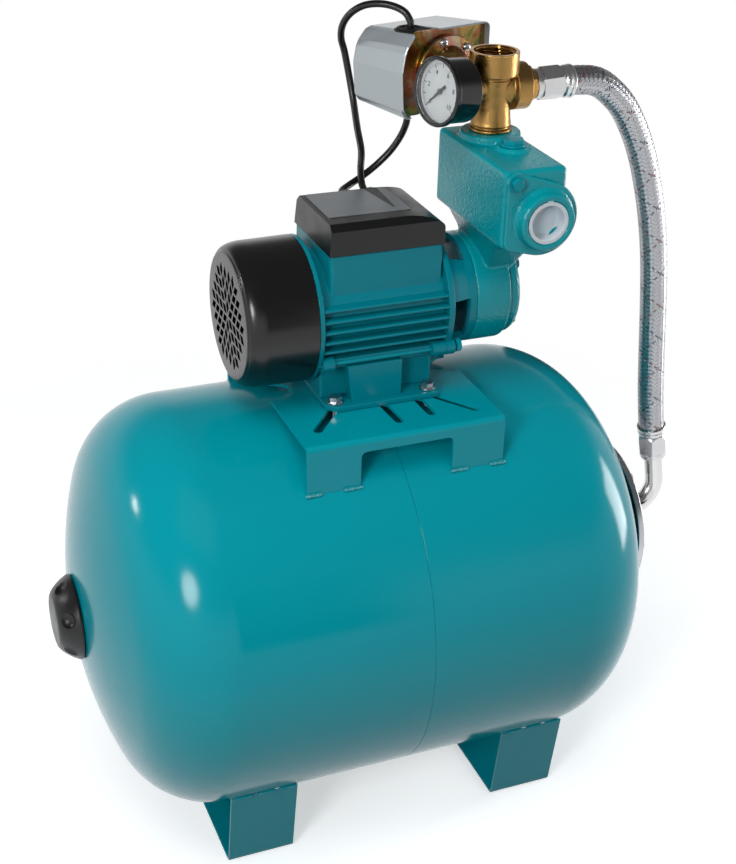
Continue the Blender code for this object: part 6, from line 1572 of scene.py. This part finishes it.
piece("switch_shell", switch_shell(), switch_grey, replaces=("switch_cover",),
      smooth=32)
plate = bevelled(outline_box(62, 63.5, 1.5, 6.0, 0.0), 0.3, 2, 50)
ears = []
holes = []
for low, high in ((EAR_BOTTOM, EAR_BOTTOM + 1.5), (EAR_TOP - 1.5, EAR_TOP)):
    left = -50 + (14 if high > 0 else 12)
    outline = [(low, left), (high, left), (high, 12), (low, 12)]
    ears.append(bevelled(prism(outline, 62.5, 96, switch_axis), 0.3, 2, 50))
    hole_axis = frame_on(switch_axis @ Vector((low - 5, GROMMET_SIDE, GROMMET_BACK)), Z_AXIS,
                         X_AXIS)
    holes.append(rod(9.8, 0, 15, 48, hole_axis))
stem_hole = rod(4.6, 57, 72, 32, switch_axis)
piece("switch_plate", cut(join(plate, *ears), stem_hole, *holes), gold,
      replaces=("switch_frame",))
for name, height, upward in (("grommet_top", EAR_TOP, 1), ("grommet_bottom", EAR_BOTTOM, -1)):
    centre = switch_axis @ Vector((height, GROMMET_SIDE, GROMMET_BACK))
    axis = frame_on(centre, Z_AXIS * upward, X_AXIS)
    profile = [(-4.5, 2), (-4.5, 9.5), (-4.1, 11), (-1.8, 11), (-1.8, 9.5), (0.3, 9.5), (0.3, 13),
               (2.2, 12.4), (3.2, 11), (3.2, 8.6), (2.4, 8.0), (2.4, 5.4), (3.2, 4.8), (3.2, 2)]
    piece(name + "_ring", revolve(profile, 64, axis, True, 0.5), rubber,
          replaces=(name,))
profile = [(17.8, 2), (17.8, 3.9), (24.8, 3.9), (24.8, 7.5), (41.7, 7.5), (42.7, 15), (46.7, 18),
           (51.7, 20), (56.7, 21), (57.5, 29), (58.3, 30), (61.7, 30), (61.7, 2)]
disc = revolve(profile, 128, switch_axis, True, 0.9)
head = bolt_item(11.0, 8.0)
head.data.transform(switch_axis @ Matrix.Translation((0, 0, 23.8)))
piece("diaphragm_housing", merge(disc, head), gold, replaces=("pressure_flange",))
bolts = round_circle(pan_head(3.8, 2.6), 6, 25.2, radians(15), zinc,
                     switch_axis @ Matrix.Translation((0, 0, 57.2)) @ Matrix.Rotation(pi, 4, "X"))
piece("diaphragm_screws", bolts, zinc)

# %% Elbow, nut and ferrules
points = [(261.5, 0, 0), (280.3, 0, 0)]
points += [(ELBOW_START + ELBOW_RADIUS * sin(ELBOW_TURN * k / 36), 0,
            ELBOW_RADIUS * (1 - cos(ELBOW_TURN * k / 36))) for k in range(37)]
points.append(tuple(elbow_end + elbow_way * ELBOW_TAIL))
piece("elbow", sweep(points, 8.5, 64, 6.5), chrome, replaces=("elbow_pipe",),
      smooth=40)
nut = bolt_item(16.5, 12.0)
nut.data.transform(tank_axis @ Matrix.Translation((0, 0, 268.3)))
nut = cut(nut, rod(8.8, 262, 286, 64, tank_axis))
piece("union_nut", nut, nickel, replaces=("elbow_nut",))


def ferrule(name, base, way):
    axis = frame_on(base, way)
    profile = [(0, 0), (0, 12.2), (5, 12.2), (6, 11.4), (25, 11.9), (26.5, 13.0), (29, 13.4),
               (30, 12.9), (31, 13.5), (33.2, 13.8), (34, 13.4), (34, 0)]
    shape = revolve(profile, 96, axis, False, 0.5)
    head = bolt_item(14.2, 19.5)
    head.data.transform(axis @ Matrix.Translation((0, 0, 5.5)))
    return piece(name + "_dressed", join(shape, head), nickel, replaces=(name,))


ferrule("hose_ferrule_lower", lower_base, elbow_way)
ferrule("hose_ferrule_upper", upper_base, X_AXIS)


# %% [markdown]
# ## Inner pieces
#
# The pieces that only a cut-away would show keep their plain solids and get real finishes.

# %% Finishes of the inner pieces
INNER = {"stator_core": steel, "stator_windings": copper, "rotor_core": steel,
         "front_bearing": nickel, "rear_bearing": nickel, "run_capacitor": switch_grey,
         "impeller": brass, "contact_block": black_plastic, "tank_membrane": rubber,
         "check_flap": rubber}
for name, material in INNER.items():
    node = frame["nodes"][name]
    node.data.materials.clear()
    node.data.materials.append(material)
print("inner pieces:", len(INNER))


# %% [markdown]
# ## Light
#
# A pale floor and white surroundings as in a product photograph. Gloss needs something to
# reflect: a round lamp at the front left draws the spot on the tank's dome, a tall strip at
# the right the patch on the barrel, and a small lamp at the rear left a short glint. Two wide
# lamps that no surface mirrors fill from above and in front, and two black cards give the
# gloss something dark to reflect.

# %% Floor, world and lamps
def seen_directly(nodes, links):
    """1 for rays from the camera and those that metal or glass sends on, 0 for diffuse light."""
    ray = nodes.new("ShaderNodeLightPath")
    most = ray.outputs["Is Camera Ray"]
    for label in ("Is Glossy Ray", "Is Transmission Ray"):
        larger = nodes.new("ShaderNodeMath")
        larger.operation = "MAXIMUM"
        links.new(most, larger.inputs[0])
        links.new(ray.outputs[label], larger.inputs[1])
        most = larger.outputs[0]
    return most


def smooth_step(nodes, links, source, low, high, start, end):
    node = nodes.new("ShaderNodeMapRange")
    node.interpolation_type = "SMOOTHSTEP"
    for label, value in (("From Min", low), ("From Max", high), ("To Min", start), ("To Max", end)):
        node.inputs[label].default_value = value
    links.new(source, node.inputs["Value"])
    return node.outputs["Result"]


def world():
    """White round the horizon, as the backdrop is, with a dim ceiling that only gloss can see."""
    made = bpy.data.worlds.new("studio")
    made.use_nodes = True
    nodes = made.node_tree.nodes
    links = made.node_tree.links
    around = nodes["Background"]
    around.inputs["Color"].default_value = (0.92, 0.96, 1.0, 1)
    around.inputs["Strength"].default_value = 0.26
    place = nodes.new("ShaderNodeTexCoord")
    height = nodes.new("ShaderNodeSeparateXYZ")
    links.new(place.outputs["Generated"], height.inputs[0])
    backdrop = nodes.new("ShaderNodeBackground")
    backdrop.inputs["Color"].default_value = (1, 1, 1, 1)
    links.new(smooth_step(nodes, links, height.outputs["Z"], 0.12, 0.5, 1.0, 0.16),
              backdrop.inputs["Strength"])
    mix = nodes.new("ShaderNodeMixShader")
    links.new(seen_directly(nodes, links), mix.inputs[0])
    links.new(around.outputs[0], mix.inputs[1])
    links.new(backdrop.outputs[0], mix.inputs[2])
    links.new(mix.outputs[0], nodes["World Output"].inputs["Surface"])
    bpy.context.scene.world = made


def floor_finish():
    """A pale floor that keeps the set's shadow and fades to the backdrop's white further out."""
    made = finish("floor_white", (122, 124, 126), 0.7, Specular_IOR_Level=0.1)
    nodes = made.node_tree.nodes
    links = made.node_tree.links
    place = nodes.new("ShaderNodeTexCoord")
    reach = nodes.new("ShaderNodeVectorMath")
    reach.operation = "LENGTH"
    links.new(place.outputs["Object"], reach.inputs[0])
    pale = nodes.new("ShaderNodeBsdfDiffuse")
    pale.inputs["Color"].default_value = (0.85, 0.86, 0.87, 1)
    glow = nodes.new("ShaderNodeEmission")
    glow.inputs["Strength"].default_value = 0.5
    near = nodes.new("ShaderNodeAddShader")
    links.new(pale.outputs[0], near.inputs[0])
    links.new(glow.outputs[0], near.inputs[1])
    white = nodes.new("ShaderNodeEmission")
    fade = nodes.new("ShaderNodeMixShader")
    links.new(smooth_step(nodes, links, reach.outputs["Value"], 0.4, 1.1, 0.0, 1.0), fade.inputs[0])
    links.new(near.outputs[0], fade.inputs[1])
    links.new(white.outputs[0], fade.inputs[2])
    mix = nodes.new("ShaderNodeMixShader")
    links.new(seen_directly(nodes, links), mix.inputs[0])
    links.new(nodes["Principled BSDF"].outputs[0], mix.inputs[1])
    links.new(fade.outputs[0], mix.inputs[2])
    links.new(mix.outputs[0], nodes["Material Output"].inputs["Surface"])
    return made


def flag(name, place, target, width, height):
    """A black card that only gloss sees: it draws the dark streaks in metal."""
    outline = [(-width / 2, -height / 2, 0), (width / 2, -height / 2, 0),
               (width / 2, height / 2, 0), (-width / 2, height / 2, 0)]
    away = Vector(place) - Vector(target)
    turn = Matrix.Translation(place) @ away.to_track_quat("Z", "Y").to_matrix().to_4x4()
    made = mesh_object(outline, [[0, 1, 2, 3]], turn)
    made.name = name
    made.data.materials.append(flag_black)
    for kind in ("camera", "diffuse", "shadow", "transmission"):
        setattr(made, "visible_" + kind, False)
    made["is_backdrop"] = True


def lamp(name, place, target, width, height, power, shape="RECTANGLE", mirrored=True,
         colour=(1, 1, 1)):
    """An area lamp; mirrored says whether gloss shows it."""
    data = bpy.data.lights.new(name, "AREA")
    data.shape = shape
    data.size = width
    data.size_y = height
    data.energy = power
    data.color = colour
    made = bpy.data.objects.new(name, data)
    away = Vector(place) - Vector(target)
    made.matrix_world = Matrix.Translation(place) @ away.to_track_quat("Z",
                                                                       "Y").to_matrix().to_4x4()
    made.visible_glossy = mirrored
    bpy.context.scene.collection.objects.link(made)
    made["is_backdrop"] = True
    return made


world()
floor = mesh_object([(-40, -40, 0), (40, -40, 0), (40, 40, 0), (-40, 40, 0)], [[0, 1, 2, 3]])
floor.name = "floor"
floor.data.materials.append(floor_finish())
floor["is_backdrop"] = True
flag_black = finish("flag_black", (6, 6, 6), 0.9)
flag("flag_behind", (1.0, 0.9, 0.35), (0.2, 0, 0.3), 0.7, 0.9)
flag("flag_front", (0.35, -1.9, 0.75), (0.1, 0, 0.4), 0.45, 1.1)
lamp("umbrella", (-1.18, -1.15, 1.09), (-0.2, -0.14, 0.3), 0.5, 0.5, 13, "DISK")
lamp("right_strip", (1.65, -0.12, 0.38), (0.16, -0.15, 0.3), 0.5, 0.72, 13)
lamp("rear_spot", (-1.47, 0.53, 0.96), (-0.24, -0.07, 0.35), 0.16, 0.16, 2.5, "DISK")
lamp("top_soft", (-0.5, -0.6, 2.0), (0, 0, 0.3), 1.2, 1.0, 12.5, mirrored=False)
lamp("front_soft", (0.6, -1.6, 0.9), (0.05, 0, 0.3), 0.8, 0.8, 1.5, mirrored=False)
scene = bpy.context.scene
scene.view_settings.view_transform = "Standard"
scene.view_settings.look = "None"
low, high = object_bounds()
